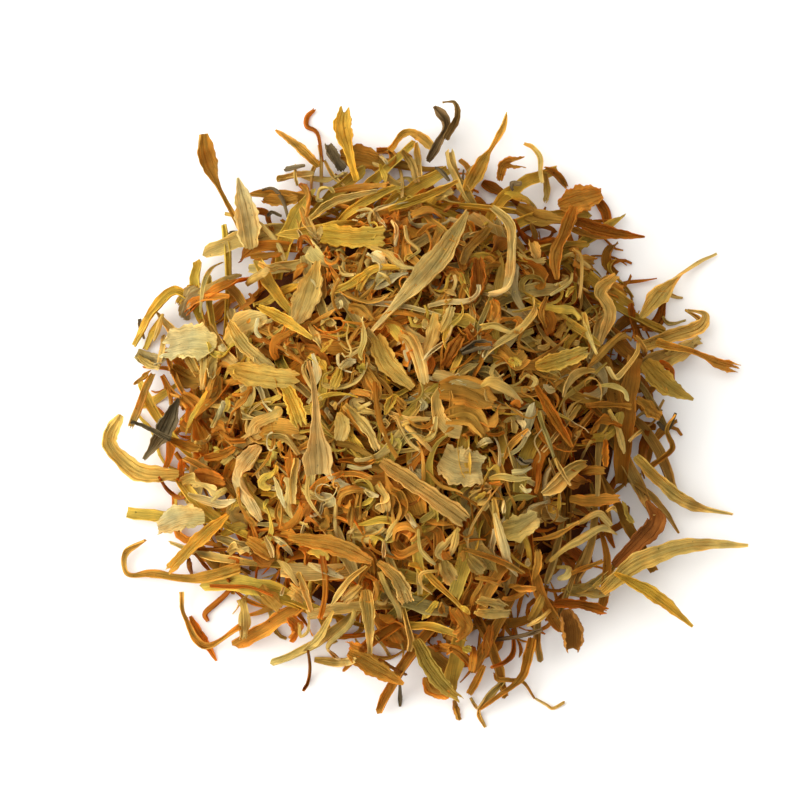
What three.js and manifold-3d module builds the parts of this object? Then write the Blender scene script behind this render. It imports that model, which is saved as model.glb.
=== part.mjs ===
// A heap of loose dried marigold petals, about 90 mm across, lying on a flat surface.
// Millimetres, +Z up, origin on the surface under the middle of the heap.
//
// The heap is one solid: a low core, and petals rooted in it that lie over each other in
// three layers. The petals that can be told apart, on top and round the rim, are solids
// of their own. Each is lowered onto what already lies there and rests a hair above it.

import * as THREE from "three";
import Module from "manifold-3d";

const wasm = await Module();
wasm.setup();

// Driving dimensions of the heap, mm
const HEAP_HEIGHT = 24.5; // the bed that the petals lie on, over the middle
const HEAP_SPREAD = 34; // radius where the bed is down to 37% of its height
const HEAP_SHOULDER = 3.1; // how square the bed's shoulder is: 2 is a bell
const CORE_DEPTH = 3; // the core's top lies this far under the bed
const CORE_RADIUS = 38;
const CORE_LUMP = 0.9; // bumps on the core, up and down
const CORE_RIM_HEIGHT = 1; // the core's edge is lifted off the surface
const FOOT_RADIUS = 24; // the flat spot that the heap rests on

// The rooted petals
const ROOTED = 138;
const MIDDLE_RADIUS = 42.5; // the furthest petal's middle is this far out
const EVENNESS = 0.46; // 0.5 spreads the petals evenly, less gives the rim more of them
const ROOT_RADIUS = 36.5; // every root is nearer than this, inside the core
const LAYERS = 3;
const LAYER_LIFT = 1.45; // between one layer and the next
const HEAP_EDGE = 51; // radius where the layers have run down onto the bed
const THINNING = 13; // they start to run down this far inside the edge
const ROOT_SINK = 5.5; // a root starts this far under its layer
const TRIES = 9; // directions that a petal tries before it takes the clearest
const TURN = Math.PI * (3 - Math.sqrt(5)); // the golden angle

// Every petal
const THICKNESS = 0.6;
const ROOTED_STEPS = 4; // lengths that a petal's mesh is cut into
const LOOSE_STEPS = 5;
const FLOOR_CLEARANCE = 0.1;

// Lowering a loose petal
const GAP = 0.3; // what it keeps to everything near it
const DROP_FROM = 9; // mm over the bed
const MOST_DIP = 9; // how far its outer end may tip down
const COARSE_STEP = 0.5;
const FINE_STEP = 0.05;

// Outlines of a petal: its width at the base and at the tip as shares of the greatest
// width, and where along it that width is reached
const STRAP = { base: 0.55, tip: 0.75, widest: 0.45 };
const LANCE = { base: 0.4, tip: 0.25, widest: 0.5 };
const SPOON = { base: 0.3, tip: 0.7, widest: 0.8 };
const STRIP = { base: 0.7, tip: 0.6, widest: 0.5 };
const SHIELD = { base: 0.55, tip: 0.6, widest: 0.5 };

const finishes = {
  orange: new THREE.MeshStandardMaterial({ color: 0xb8702a, roughness: 0.75, metalness: 0 }),
  amber: new THREE.MeshStandardMaterial({ color: 0xa8722c, roughness: 0.75, metalness: 0 }),
  yellow: new THREE.MeshStandardMaterial({ color: 0xcba545, roughness: 0.7, metalness: 0 }),
  straw: new THREE.MeshStandardMaterial({ color: 0xc09d56, roughness: 0.75, metalness: 0 }),
  pale: new THREE.MeshStandardMaterial({ color: 0xc8a866, roughness: 0.7, metalness: 0 }),
  olive: new THREE.MeshStandardMaterial({ color: 0x94783a, roughness: 0.8, metalness: 0 }),
  rust: new THREE.MeshStandardMaterial({ color: 0x9a5a1c, roughness: 0.75, metalness: 0 }),
  dead: new THREE.MeshStandardMaterial({ color: 0x7a4a20, roughness: 0.85, metalness: 0 }),
  leaf: new THREE.MeshStandardMaterial({ color: 0x5e4d33, roughness: 0.85, metalness: 0 }),
};

// The petals that can be told apart, low ones first. A path's points are x, y and the
// height over the bed; roll and twist are radians, and fold is how deep
// the petal is folded along its middle, as a share of its half width.
const loosePetals = [
  { name: "ribbon_left", colour: "orange", width: 1.6, form: STRIP, roll: 0.3, twist: 0.8, fold: 0.1,
    path: [[-28.5, -25.5, 3], [-36, -27, 2], [-43, -26, 1.5],
      [-47.5, -26, 1.2], [-48, -22.5, 1.5], [-44.5, -20.5, 2.5]] },
  { name: "ring_left_below", colour: "orange", width: 1.5, form: STRIP, roll: 0.5, twist: 0.6, fold: 0.1,
    path: [[-28.5, -35, 1.5], [-34.5, -38, 1.5], [-38, -33, 2], [-38.5, -29, 3]] },
  { name: "strap_left_below", colour: "orange", width: 2.3, form: STRAP, roll: 0.2, twist: 0.3, fold: 0.15,
    path: [[-30, -17.5, 3], [-35.5, -21.5, 2.2], [-40.5, -26, 1.5]] },
  { name: "pale_left_below", colour: "pale", width: 4.3, form: SHIELD, roll: 0.1, twist: 0.2, fold: 0.2,
    path: [[-34, -17.5, 2.5], [-38, -17.5, 2.5], [-42, -19, 2]] },
  { name: "ring_left", colour: "straw", width: 2.8, form: STRAP, roll: 0.35, twist: 0.5, fold: 0.25,
    path: [[-38.5, -10.5, 3], [-45.5, -9.5, 2], [-50.5, -4.5, 1.5], [-48.5, 0, 3]] },
  { name: "dark_leaf", colour: "leaf", width: 3.1, form: LANCE, roll: -0.3, twist: 0.2, fold: 0.3,
    path: [[-38.5, 2, 3], [-41, -3, 2.5], [-44.5, -7.5, 1.5]] },
  { name: "dark_stalk", colour: "leaf", width: 1, form: STRIP, roll: 0, twist: 0.2, fold: 0,
    path: [[-46.5, -1.5, 1.2], [-44, -2.5, 1.5], [-39.5, -5, 2.5]] },
  { name: "arched_left", colour: "yellow", width: 1.5, form: STRIP, roll: 0.4, twist: 0.4, fold: 0.1,
    path: [[-37, 19.5, 3], [-40, 21, 5], [-44, 17.5, 3.5], [-47, 12.5, 1.5]] },
  { name: "pale_left", colour: "pale", width: 6.3, form: SHIELD, roll: 0.15, twist: 0.1, fold: 0.15,
    path: [[-32.5, 10.5, 4], [-37, 11.5, 4], [-42, 11, 2.5]] },
  { name: "spoon_top_left", colour: "orange", width: 3.3, form: SPOON, roll: 0.5, twist: 0.6, fold: 0.3,
    path: [[-28.5, 31, 3], [-31, 35.5, 2.5], [-33.5, 40.5, 3], [-35, 44, 4], [-35.5, 48, 5.5]] },
  { name: "pale_point_top_left", colour: "pale", width: 3.8, form: LANCE, roll: 0.2, twist: 0.2, fold: 0.15,
    path: [[-27, 27.5, 3], [-28, 34, 2.5], [-29.5, 40.5, 3]] },
  { name: "spike_top_left", colour: "orange", width: 1.5, form: LANCE, roll: 0.2, twist: 0.3, fold: 0.1,
    path: [[-16, 42.5, 2.5], [-19.5, 46.5, 2], [-23.5, 50, 1.8]] },
  { name: "grey_scrap", colour: "leaf", width: 2.8, form: SHIELD, roll: 0.4, twist: 0.1, fold: 0.2,
    path: [[-12, 42, 3], [-13.5, 44.5, 2.5], [-14.5, 47, 2]] },
  { name: "upright_yellow", colour: "yellow", width: 3.3, form: SPOON, roll: 0.1, twist: 0.2, fold: 0.2,
    path: [[-9.5, 39.5, 3], [-11, 45.5, 2.5], [-12, 49.5, 3], [-11.5, 53, 4]] },
  { name: "arc_top", colour: "orange", width: 1.3, form: STRIP, roll: 0.5, twist: 0.3, fold: 0.1,
    path: [[-4, 46, 2.5], [-1.5, 49, 3.5], [1, 48.5, 4], [4, 46, 3]] },
  { name: "dark_bract", colour: "leaf", width: 1.8, form: LANCE, roll: 0.5, twist: 0.5, fold: 0.3,
    path: [[2.5, 43.5, 2.5], [4.5, 47.5, 2.5], [5.5, 50.5, 3], [3.5, 53, 4.5]] },
  { name: "bract_curl", colour: "leaf", width: 0.8, form: STRIP, roll: 0.3, twist: 0.3, fold: 0,
    path: [[5.5, 47.5, 2], [7.5, 51.5, 3], [7, 54, 4], [5, 54, 5]] },
  { name: "hook_top", colour: "orange", width: 1.5, form: LANCE, roll: 0.4, twist: 0.6, fold: 0.1,
    path: [[9, 38, 3], [12, 44, 2.6], [15, 49.5, 2.5], [16, 52.5, 4]] },
  { name: "fork_top_right", colour: "amber", width: 1.6, form: STRAP, roll: 0.3, twist: 0.4, fold: 0.1,
    path: [[14.5, 40, 2.5], [15.5, 43, 2.5], [19, 43.5, 3]] },
  { name: "broad_top_right", colour: "amber", width: 4.5, form: SHIELD, roll: 0.2, twist: 0.1, fold: 0.2,
    path: [[24.5, 35.5, 3], [28, 37, 3.2], [32, 38.5, 2.5]] },
  { name: "point_right_above", colour: "rust", width: 2.1, form: LANCE, roll: 0.3, twist: 0.4, fold: 0.15,
    path: [[27, 32.5, 3], [33, 31, 2.5], [39, 30.5, 2]] },
  { name: "twist_right_above", colour: "straw", width: 2.8, form: LANCE, roll: 0.3, twist: 0.9, fold: 0.2,
    path: [[38, 16.5, 2.5], [42, 21.5, 2.5], [47, 26, 2.2], [51.5, 28.5, 3]] },
  { name: "hook_right", colour: "straw", width: 2.1, form: STRIP, roll: 0.35, twist: 0.3, fold: 0.15,
    path: [[38, 11.5, 2.5], [44, 14, 2.2], [48, 15.5, 2.5], [49, 17.5, 3.5], [46, 18, 4.5]] },
  { name: "ragged_right", colour: "orange", width: 2, form: STRAP, roll: 0.3, twist: 0.5, fold: 0.1,
    path: [[40.5, 12, 2], [47, 11, 1.8], [51, 9.5, 1.5], [55, 8.5, 1.4]] },
  { name: "point_right", colour: "olive", width: 3.6, form: LANCE, roll: 0.15, twist: 0.2, fold: 0.2,
    path: [[38, 8, 2.5], [42, 4.5, 2.2], [46.5, 2.5, 1.5]] },
  { name: "curl_right", colour: "amber", width: 1.2, form: STRIP, roll: 0.2, twist: 0.6, fold: 0,
    path: [[39.5, -8.5, 2], [43, -5.5, 2.5], [42, -2.5, 3.5], [43.5, 0, 4.5]] },
  { name: "long_right", colour: "straw", width: 2, form: LANCE, roll: 0.3, twist: 0.4, fold: 0.15,
    path: [[36.5, -7.5, 2.5], [41.5, -11.5, 2], [46.5, -14.5, 1.6], [53.5, -16, 1.4]] },
  { name: "dead_petal_right", colour: "dead", width: 3.6, form: LANCE, roll: 0.4, twist: 0.5, fold: 0.25,
    path: [[33, -25, 2.5], [37.5, -20.5, 2.8], [40, -17.5, 2.6], [38.5, -14.5, 3]] },
  { name: "long_upper_right", colour: "straw", width: 2.5, form: LANCE, roll: 0.2, twist: 0.3, fold: 0.2,
    path: [[31, -29.5, 2], [37, -24.5, 1.8], [46, -21.5, 1.6], [55.5, -21.5, 1.8]] },
  { name: "long_lower_right", colour: "yellow", width: 2, form: LANCE, roll: 0.25, twist: 0.3, fold: 0.15,
    path: [[33, -26.5, 1.6], [40, -30, 1.3], [46, -35, 1.2]] },
  { name: "stub_right_below", colour: "rust", width: 1.8, form: STRAP, roll: 0.3, twist: 0.3, fold: 0.15,
    path: [[23, -31.5, 2], [27.5, -31.5, 1.8], [32, -32.5, 1.6]] },
  { name: "curled_pod", colour: "dead", width: 4, form: SHIELD, roll: 0.1, twist: 0.1, fold: 0.5,
    path: [[25, -33, 2.5], [26, -36, 2.2], [26, -39, 1.6]] },
  { name: "fork_below", colour: "amber", width: 1.5, form: STRIP, roll: 0.3, twist: 0.6, fold: 0.1,
    path: [[19.5, -37, 2], [18, -43, 1.5], [14.5, -46, 1.3], [11, -48.5, 1.3]] },
  { name: "strap_below", colour: "olive", width: 2.6, form: STRAP, roll: 0.2, twist: 0.4, fold: 0.2,
    path: [[0.5, -37.5, 2], [3, -42, 1.6], [5.5, -45, 1.4], [8, -47, 1.4]] },
  { name: "spoon_below", colour: "straw", width: 2.5, form: STRAP, roll: 0.2, twist: 0.2, fold: 0.25,
    path: [[-7.5, -30, 3], [-7, -35, 2.2], [-7, -41, 1.6]] },
  { name: "amber_below", colour: "amber", width: 3, form: LANCE, roll: 0.2, twist: 0.2, fold: 0.2,
    path: [[-10.5, -39.5, 1.6], [-6, -42, 1.5], [-1.5, -44.5, 1.4]] },
  { name: "straw_top", colour: "straw", width: 1.6, form: STRIP, roll: 0.3, twist: 0.4, fold: 0.1,
    path: [[-17, 32, 3.5], [-13, 35, 4], [-6, 37, 3.5]] },
  { name: "narrow_yellow_top", colour: "yellow", width: 1.5, form: STRIP, roll: 0.3, twist: 0.5, fold: 0.1,
    path: [[-4, 33, 3.5], [2, 35.5, 4], [7.5, 39, 3.5]] },
  { name: "square_yellow", colour: "yellow", width: 3.6, form: STRAP, roll: 0.05, twist: 0.1, fold: 0.1,
    path: [[-15, 29, 4.5], [-10, 28, 4.6], [-4.5, 28, 4.5]] },
  { name: "spoon_left_above", colour: "straw", width: 4.5, form: SPOON, roll: 0.2, twist: 0.1, fold: 0.25,
    path: [[-15.5, 23.5, 4], [-16.5, 18, 4.5], [-18.5, 12.5, 4]] },
  { name: "folded_yellow_left", colour: "yellow", width: 2.1, form: STRAP, roll: 0.3, twist: 0.3, fold: 0.2,
    path: [[-25, 16, 4], [-20.5, 13, 4.6], [-16, 9.5, 4]] },
  { name: "straw_left", colour: "straw", width: 2.3, form: STRAP, roll: 0.3, twist: 0.3, fold: 0.15,
    path: [[-30, 14, 3.5], [-27, 9.5, 4], [-22.5, 5.5, 3.5]] },
  { name: "cut_yellow_left", colour: "yellow", width: 3.8, form: STRAP, roll: 0.1, twist: 0.1, fold: 0.12,
    path: [[-30, 6, 4.5], [-24.5, 4, 4.8], [-18, 2.5, 4.5]] },
  { name: "yellow_left_centre", colour: "yellow", width: 2.5, form: STRAP, roll: 0.1, twist: 0.2, fold: 0.15,
    path: [[-20, 1.5, 3.5], [-18.5, -2, 4], [-17.5, -5, 3.8]] },
  { name: "spoon_centre", colour: "straw", width: 5.3, form: SPOON, roll: 0.1, twist: 0.2, fold: 0.2,
    path: [[-16.5, 5.5, 4.5], [-15.5, 1, 5], [-15, -5.5, 5.2], [-14.5, -12.5, 4.8]] },
  { name: "twisted_straw_left", colour: "straw", width: 3.5, form: LANCE, roll: 0.3, twist: 1, fold: 0.2,
    path: [[-24.5, -7, 4], [-28, -11.5, 4.5], [-24.5, -18.5, 3.5]] },
  { name: "orange_lens", colour: "orange", width: 3, form: LANCE, roll: 0.2, twist: 0.3, fold: 0.2,
    path: [[-20, -21.5, 4], [-12.5, -23, 4.2], [-6.5, -25.5, 3.8]] },
  { name: "fan_below_right", colour: "straw", width: 2.3, form: STRAP, roll: 0.2, twist: 0.2, fold: 0.15,
    path: [[-5.5, -25.5, 4], [-2.5, -28, 4], [-1, -31.5, 3.4]] },
  { name: "tab_centre", colour: "yellow", width: 3, form: STRAP, roll: 0.15, twist: 0.3, fold: 0.15,
    path: [[-6, 10, 4], [-4, 5.5, 4.5], [0, 1.5, 4]] },
  { name: "strap_centre", colour: "pale", width: 2.8, form: STRAP, roll: 0.1, twist: 0.1, fold: 0.12,
    path: [[-5, -10.5, 4.8], [1, -14.5, 5], [8.5, -19.5, 4.6]] },
  { name: "crumpled_pale", colour: "pale", width: 6.3, form: SHIELD, roll: 0.1, twist: 0.3, fold: 0.35,
    path: [[4.5, -9.5, 4.5], [7.5, -11, 5.2], [11, -11, 4.5]] },
  { name: "orange_cup", colour: "rust", width: 3.6, form: LANCE, roll: 0.1, twist: 0.1, fold: 0.5,
    path: [[10.5, 23.5, 4], [10.5, 19, 4.5], [9.5, 15.5, 4.2]] },
  { name: "long_straw", colour: "straw", width: 4.5, form: LANCE, roll: 0.15, twist: 0.5, fold: 0.2,
    path: [[9, 33, 5], [5, 24.5, 5.6], [0, 17.5, 5.8], [-6.5, 10.5, 5]] },
  { name: "curved_straw", colour: "straw", width: 2, form: STRIP, roll: 0.3, twist: 0.6, fold: 0.15,
    path: [[13, 33.5, 4], [16, 30, 4.6], [16, 24, 4.8], [15, 18, 4.4], [12, 16.5, 4.2]] },
  { name: "yellow_right", colour: "yellow", width: 2.6, form: STRAP, roll: 0.15, twist: 0.2, fold: 0.15,
    path: [[19.5, 5, 4.2], [23.5, 6.5, 4.6], [28.5, 9, 4]] },
  { name: "narrow_orange_right", colour: "orange", width: 1.6, form: STRIP, roll: 0.2, twist: 0.3, fold: 0.1,
    path: [[19.5, 2, 4.5], [22, -2, 4.8], [25.5, -7, 4.2]] },
  { name: "bent_straw_right", colour: "straw", width: 2.3, form: STRAP, roll: 0.3, twist: 0.4, fold: 0.15,
    path: [[34, 23.5, 3.5], [31, 20, 4], [32.5, 16.5, 4], [30.5, 10.5, 3.5]] },
  { name: "gold_top_right", colour: "amber", width: 2.3, form: STRAP, roll: 0.3, twist: 0.4, fold: 0.15,
    path: [[27, 35, 3.5], [25.5, 30.5, 4], [23.5, 25.5, 4], [23.5, 21, 3.6]] },
];

// The bed that the petals lie on: a round dome with a soft shoulder.
function bed(x, y) {
  return HEAP_HEIGHT * Math.exp(-((Math.hypot(x, y) / HEAP_SPREAD) ** HEAP_SHOULDER));
}

// A number from 0 to 1 that depends only on which petal it is and what it is for.
function draw(petal, purpose) {
  let bits = Math.imul(petal + 1, 0x9e3779b1) ^ Math.imul(purpose + 1, 0x85ebca6b);
  bits = Math.imul(bits ^ (bits >>> 15), 0x2c1b3c6d);
  bits = Math.imul(bits ^ (bits >>> 12), 0x297a2d39);
  return ((bits ^ (bits >>> 15)) >>> 0) / 2 ** 32;
}

function between(low, high, share) {
  return low + (high - low) * share;
}

// Width at a place along the petal, as a share of its greatest width.
function outline(form, along) {
  const rising = along < form.widest;
  const end = rising ? form.base : form.tip;
  const share = rising ? along / form.widest : (1 - along) / (1 - form.widest);
  return between(end, 1, Math.sin((Math.PI / 2) * share));
}

// A closed solid from its vertices and triangles.
function solid(vertices, triangles) {
  return new wasm.Manifold(new wasm.Mesh({
    numProp: 3,
    vertProperties: new Float32Array(vertices.flatMap((point) => point.toArray())),
    triVerts: new Uint32Array(triangles),
  }));
}

// A petal's solid: across each station run a row of points on its upper face and one on
// its lower face. Both faces are split along the same diagonals, so they never cross.
function petalSolid({ centres, sides, faces, widths, fold }, pad) {
  const across = fold ? [-1, 0, 1] : [-1, 1];
  const columns = across.length;
  const last = centres.length - 1;
  const vertices = [];
  centres.forEach((centre, k) => {
    const endwards = k === 0 ? -pad : k === last ? pad : 0;
    const along = new THREE.Vector3().crossVectors(faces[k], sides[k]).multiplyScalar(endwards);
    for (const sign of [1, -1]) {
      for (const place of across) {
        const depth = fold * widths[k] * 0.5 * (place === 0 ? -0.5 : 0.5);
        vertices.push(centre.clone().add(along)
          .addScaledVector(sides[k], place * (widths[k] / 2 + pad))
          .addScaledVector(faces[k], depth + sign * (THICKNESS / 2 + pad)));
      }
    }
  });
  const at = (k, level, column) => (k * 2 + level) * columns + column;
  const triangles = [];
  const quad = (a, b, c, d) => triangles.push(a, b, c, a, c, d);
  for (let k = 0; k < last; k += 1) {
    for (let j = 0; j < columns - 1; j += 1) {
      quad(at(k, 0, j), at(k, 0, j + 1), at(k + 1, 0, j + 1), at(k + 1, 0, j));
      triangles.push(at(k, 1, j), at(k + 1, 1, j + 1), at(k, 1, j + 1));
      triangles.push(at(k, 1, j), at(k + 1, 1, j), at(k + 1, 1, j + 1));
    }
    quad(at(k, 0, 0), at(k + 1, 0, 0), at(k + 1, 1, 0), at(k, 1, 0));
    const edge = columns - 1;
    quad(at(k, 0, edge), at(k, 1, edge), at(k + 1, 1, edge), at(k + 1, 0, edge));
  }
  for (let j = 0; j < columns - 1; j += 1) {
    quad(at(0, 0, j), at(0, 1, j), at(0, 1, j + 1), at(0, 0, j + 1));
    quad(at(last, 0, j), at(last, 0, j + 1), at(last, 1, j + 1), at(last, 1, j));
  }
  return solid(vertices, triangles);
}

// Stations along a petal: its face starts level, is carried along the path without
// spinning, and is then rolled and twisted about the path.
function stations(centres, petal) {
  const last = centres.length - 1;
  const sides = [];
  const faces = [];
  const widths = [];
  const carried = new THREE.Vector3(0, 0, 1);
  centres.forEach((centre, k) => {
    const next = centres[Math.min(k + 1, last)];
    const ahead = next.clone().sub(centres[Math.max(k - 1, 0)]).normalize();
    carried.addScaledVector(ahead, -carried.dot(ahead)).normalize();
    const along = k / last;
    const face = carried.clone().applyAxisAngle(ahead, petal.roll + petal.twist * (along - 0.5));
    faces.push(face);
    sides.push(new THREE.Vector3().crossVectors(ahead, face));
    widths.push(petal.width * outline(petal.form, along));
  });
  return { centres, sides, faces, widths, fold: petal.fold };
}

// Raises the points where a petal's lower edge would reach under the surface below it.
function keepOffFloor(centres, petal) {
  const steepest = Math.abs(petal.roll) + Math.abs(petal.twist) / 2;
  const lowest = THICKNESS / 2 + (petal.width / 2) * Math.sin(steepest) + FLOOR_CLEARANCE;
  for (const centre of centres) {
    centre.z = Math.max(centre.z, lowest);
  }
  return centres;
}

// The core: rings of points under the bed, bumpy so that no smooth dome shows, and an
// underside that is flat in the middle and lifts towards the rim.
function coreSolid() {
  const sides = 24;
  const ringShares = [0.17, 0.34, 0.51, 0.67, 0.82, 0.95, 1];
  const vertices = [new THREE.Vector3(0, 0, 0), new THREE.Vector3(0, 0, HEAP_HEIGHT - CORE_DEPTH)];
  const ring = (radius, shift, height) => {
    for (let k = 0; k < sides; k += 1) {
      const angle = ((k + shift / 2) / sides) * 2 * Math.PI;
      vertices.push(new THREE.Vector3(radius * Math.cos(angle), radius * Math.sin(angle), height(angle)));
    }
  };
  ringShares.forEach((share, index) => {
    const radius = CORE_RADIUS * share;
    ring(radius, index % 2, (angle) => {
      const bump = CORE_LUMP * Math.sin(3 * angle + 2 * index) * Math.cos(5 * angle - index);
      const top = Math.max(bed(radius, 0) - CORE_DEPTH + bump, 2 * CORE_RIM_HEIGHT);
      return share === 1 ? CORE_RIM_HEIGHT : top;
    });
  });
  ring(FOOT_RADIUS, 1, () => 0);

  const at = (index, k) => 2 + index * sides + (k % sides);
  const foot = ringShares.length;
  const triangles = [];
  for (let k = 0; k < sides; k += 1) {
    triangles.push(1, at(0, k), at(0, k + 1));
    for (let index = 0; index < foot; index += 1) {
      const shift = index % 2;
      triangles.push(at(index, k), at(index + 1, k + shift), at(index, k + 1));
      triangles.push(at(index, k + 1), at(index + 1, k + shift), at(index + 1, k + 1 + shift));
    }
    triangles.push(0, at(foot, k + 1), at(foot, k));
  }
  return solid(vertices, triangles);
}

// The spots that a petal's middle line runs through, seen from above: a gentle bend
// through its middle, from the end that is nearer to the heap's middle.
function middleLine(middle, heading, length, bend) {
  const spots = [new THREE.Vector2()];
  for (let k = 0; k < ROOTED_STEPS; k += 1) {
    const direction = heading + bend * ((k + 0.5) / ROOTED_STEPS - 0.5);
    const step = new THREE.Vector2(Math.cos(direction), Math.sin(direction));
    spots.push(spots[k].clone().addScaledVector(step, length / ROOTED_STEPS));
  }
  const shift = middle.clone().sub(spots[ROOTED_STEPS / 2]);
  return spots.map((spot) => spot.add(shift));
}

// How far a middle line keeps from those that are already in its layer, or less than
// nothing where its root would miss the core.
function clearance(spots, layer) {
  if (spots[0].length() > ROOT_RADIUS) {
    return ROOT_RADIUS - spots[0].length();
  }
  return Math.min(...layer.flat().flatMap((theirs) => spots.map((spot) => spot.distanceTo(theirs))));
}

// The rooted petals. Their middles are on a golden-angle spiral, which covers the heap
// evenly, and each in turn takes the direction that lies clearest of its own layer.
function rootedPetals() {
  const layers = Array.from({ length: LAYERS }, () => []);
  return Array.from({ length: ROOTED }, (_, index) => {
    const azimuth = index * TURN;
    const radius = MIDDLE_RADIUS * ((index + 0.5) / ROOTED) ** EVENNESS;
    const middle = new THREE.Vector2(Math.cos(azimuth), Math.sin(azimuth)).multiplyScalar(radius);
    const length = between(13, 21, draw(index, 1));
    const bend = between(-0.9, 0.9, draw(index, 2));
    const layer = layers[index % LAYERS];
    let best = { room: -Infinity };
    for (let attempt = 0; attempt < TRIES; attempt += 1) {
      const heading = azimuth + between(-Math.PI / 2, Math.PI / 2, draw(index, 10 + attempt));
      const spots = middleLine(middle, heading, length, bend);
      const room = clearance(spots, layer);
      best = room > best.room ? { spots, room } : best;
    }
    layer.push(best.spots);
    return rootedPetal(index, best.spots);
  });
}

// One rooted petal over its spots: it starts deep in the core and rises to its layer.
function rootedPetal(index, spots) {
  const petal = {
    width: between(2, 3.8, draw(index, 3)),
    form: [STRAP, LANCE, SPOON][Math.floor(3 * draw(index, 4))],
    roll: between(-0.35, 0.35, draw(index, 5)),
    twist: between(-0.8, 0.8, draw(index, 6)),
    fold: 0,
  };
  const layerLift = LAYER_LIFT * (index % LAYERS);
  const tipRise = between(-0.5, 2.5, draw(index, 7) ** 2);
  const centres = spots.map(({ x, y }, k) => {
    const along = k / ROOTED_STEPS;
    const thickness = THREE.MathUtils.clamp((HEAP_EDGE - Math.hypot(x, y)) / THINNING, 0.2, 1);
    const lift = thickness * (layerLift + tipRise * along ** 2) - ROOT_SINK * (1 - along) ** 5;
    return new THREE.Vector3(x, y, bed(x, y) + THICKNESS / 2 + lift);
  });
  return petalSolid(stations(keepOffFloor(centres, petal), petal), 0);
}

// The core and its petals as one body. Union also makes scraps and closed pockets between
// petals: only the outer skin of the largest body is kept, so pockets are filled.
function heapSolid() {
  const bodies = wasm.Manifold.union([coreSolid(), ...rootedPetals()]).decompose();
  return bodies.reduce((best, body) => (body.volume() > best.volume() ? body : best));
}

// A loose petal lifted over the bed, with its outer end tipped down by dip.
function loosePetal(petal, lift, dip, pad) {
  const points = petal.path.map(([x, y, rise]) => new THREE.Vector3(x, y, rise));
  const curve = new THREE.CatmullRomCurve3(points, false, "catmullrom", 0.5);
  const centres = curve.getPoints(LOOSE_STEPS);
  centres.forEach((centre, k) => {
    centre.z += bed(centre.x, centre.y) + lift - (dip * k) / LOOSE_STEPS;
  });
  return petalSolid(stations(centres, petal), pad);
}

// Moves a measure on by coarse and then by fine steps, for as long as it stays clear.
function advance(start, step, limit, isClear) {
  let value = start;
  for (const size of [COARSE_STEP, FINE_STEP]) {
    while (Math.abs(value + step * size - start) <= limit && isClear(value + step * size)) {
      value += step * size;
    }
  }
  return value;
}

// Lowers a loose petal until a copy padded by the gap would touch what lies there or the
// floor. Then its outer end tips down until that touches too, as a dropped petal does.
function settle(petal, laid) {
  const isClear = (lift, dip) => {
    const padded = loosePetal(petal, lift, dip, GAP);
    const aboveFloor = padded.boundingBox().min[2] >= 0;
    return aboveFloor && laid.every((other) => other.intersect(padded).isEmpty());
  };
  const lift = advance(DROP_FROM, -1, 2 * DROP_FROM, (value) => isClear(value, 0));
  const dip = advance(0, 1, MOST_DIP, (value) => isClear(lift, value));
  return loosePetal(petal, lift, dip, 0);
}

function asMesh(name, shape, finish) {
  const { vertProperties, triVerts } = shape.getMesh();
  const geometry = new THREE.BufferGeometry();
  geometry.setAttribute("position", new THREE.BufferAttribute(vertProperties, 3));
  geometry.setIndex(new THREE.BufferAttribute(triVerts, 1));
  geometry.computeVertexNormals();
  const mesh = new THREE.Mesh(geometry, finish);
  mesh.name = name;
  return mesh;
}

const petals = new THREE.Group();
const heap = heapSolid();
petals.add(asMesh("petal_heap", heap, finishes.amber));

const laid = [heap];
for (const petal of loosePetals) {
  const shape = settle(petal, laid);
  laid.push(shape);
  petals.add(asMesh(petal.name, shape, finishes[petal.colour]));
}

export default petals;
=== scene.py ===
# %% [markdown]
# # A heap of dried marigold petals
#
# This lesson dresses a small herb heap: some seventeen hundred dried petals, threads and
# crumbs of a marigold, poured out on a table as a round pile 90 mm across. A packed
# model already holds the heap's size and the places of 58 petals that can be told apart.
# Blender's share is everything that makes dried petals look dried: thin curled blades
# with veins, the many small petals between the 58, and the light that shines through
# them all.
#
# Everything is worked out in millimetres and turned into metres when a mesh is made.

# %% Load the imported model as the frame
import math
from collections import namedtuple

import bpy
import numpy as np
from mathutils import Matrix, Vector


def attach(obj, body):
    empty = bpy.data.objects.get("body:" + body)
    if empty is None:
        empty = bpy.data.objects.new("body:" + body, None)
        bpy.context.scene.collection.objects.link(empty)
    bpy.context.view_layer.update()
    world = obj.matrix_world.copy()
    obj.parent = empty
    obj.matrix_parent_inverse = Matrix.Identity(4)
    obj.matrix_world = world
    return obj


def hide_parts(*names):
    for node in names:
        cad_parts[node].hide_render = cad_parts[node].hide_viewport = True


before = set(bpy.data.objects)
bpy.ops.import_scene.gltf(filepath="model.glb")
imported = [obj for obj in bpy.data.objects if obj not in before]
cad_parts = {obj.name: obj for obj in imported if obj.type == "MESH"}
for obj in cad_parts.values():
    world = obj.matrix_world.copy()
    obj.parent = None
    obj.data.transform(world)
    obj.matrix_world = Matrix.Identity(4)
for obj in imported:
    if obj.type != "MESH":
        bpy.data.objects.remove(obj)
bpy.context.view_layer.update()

MM = 0.001

# %% [markdown]
# ## The camera
#
# The photograph looks down on the heap, but not quite straight down: the near side
# shows a little more of its slope than the far side. Matching the far and near petals
# gave 82 degrees above the table. One pixel is 0.165 mm at the middle of the heap, and
# that fixes the lens once the distance is chosen. A long lens from 420 mm keeps the
# heap's height from swelling. The heap's middle lies 13 pixels right of and below the
# photograph's middle, which the lens shift takes up.

# %% Camera
PHOTO_PIXELS = 800
PIXEL_SIZE = 0.165
AIM = Vector((0, 0, 9))
AIM_PIXEL = 413
ELEVATION = math.radians(82)
DISTANCE = 420
SENSOR = 36
NEAREST_SEEN = 10


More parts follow.
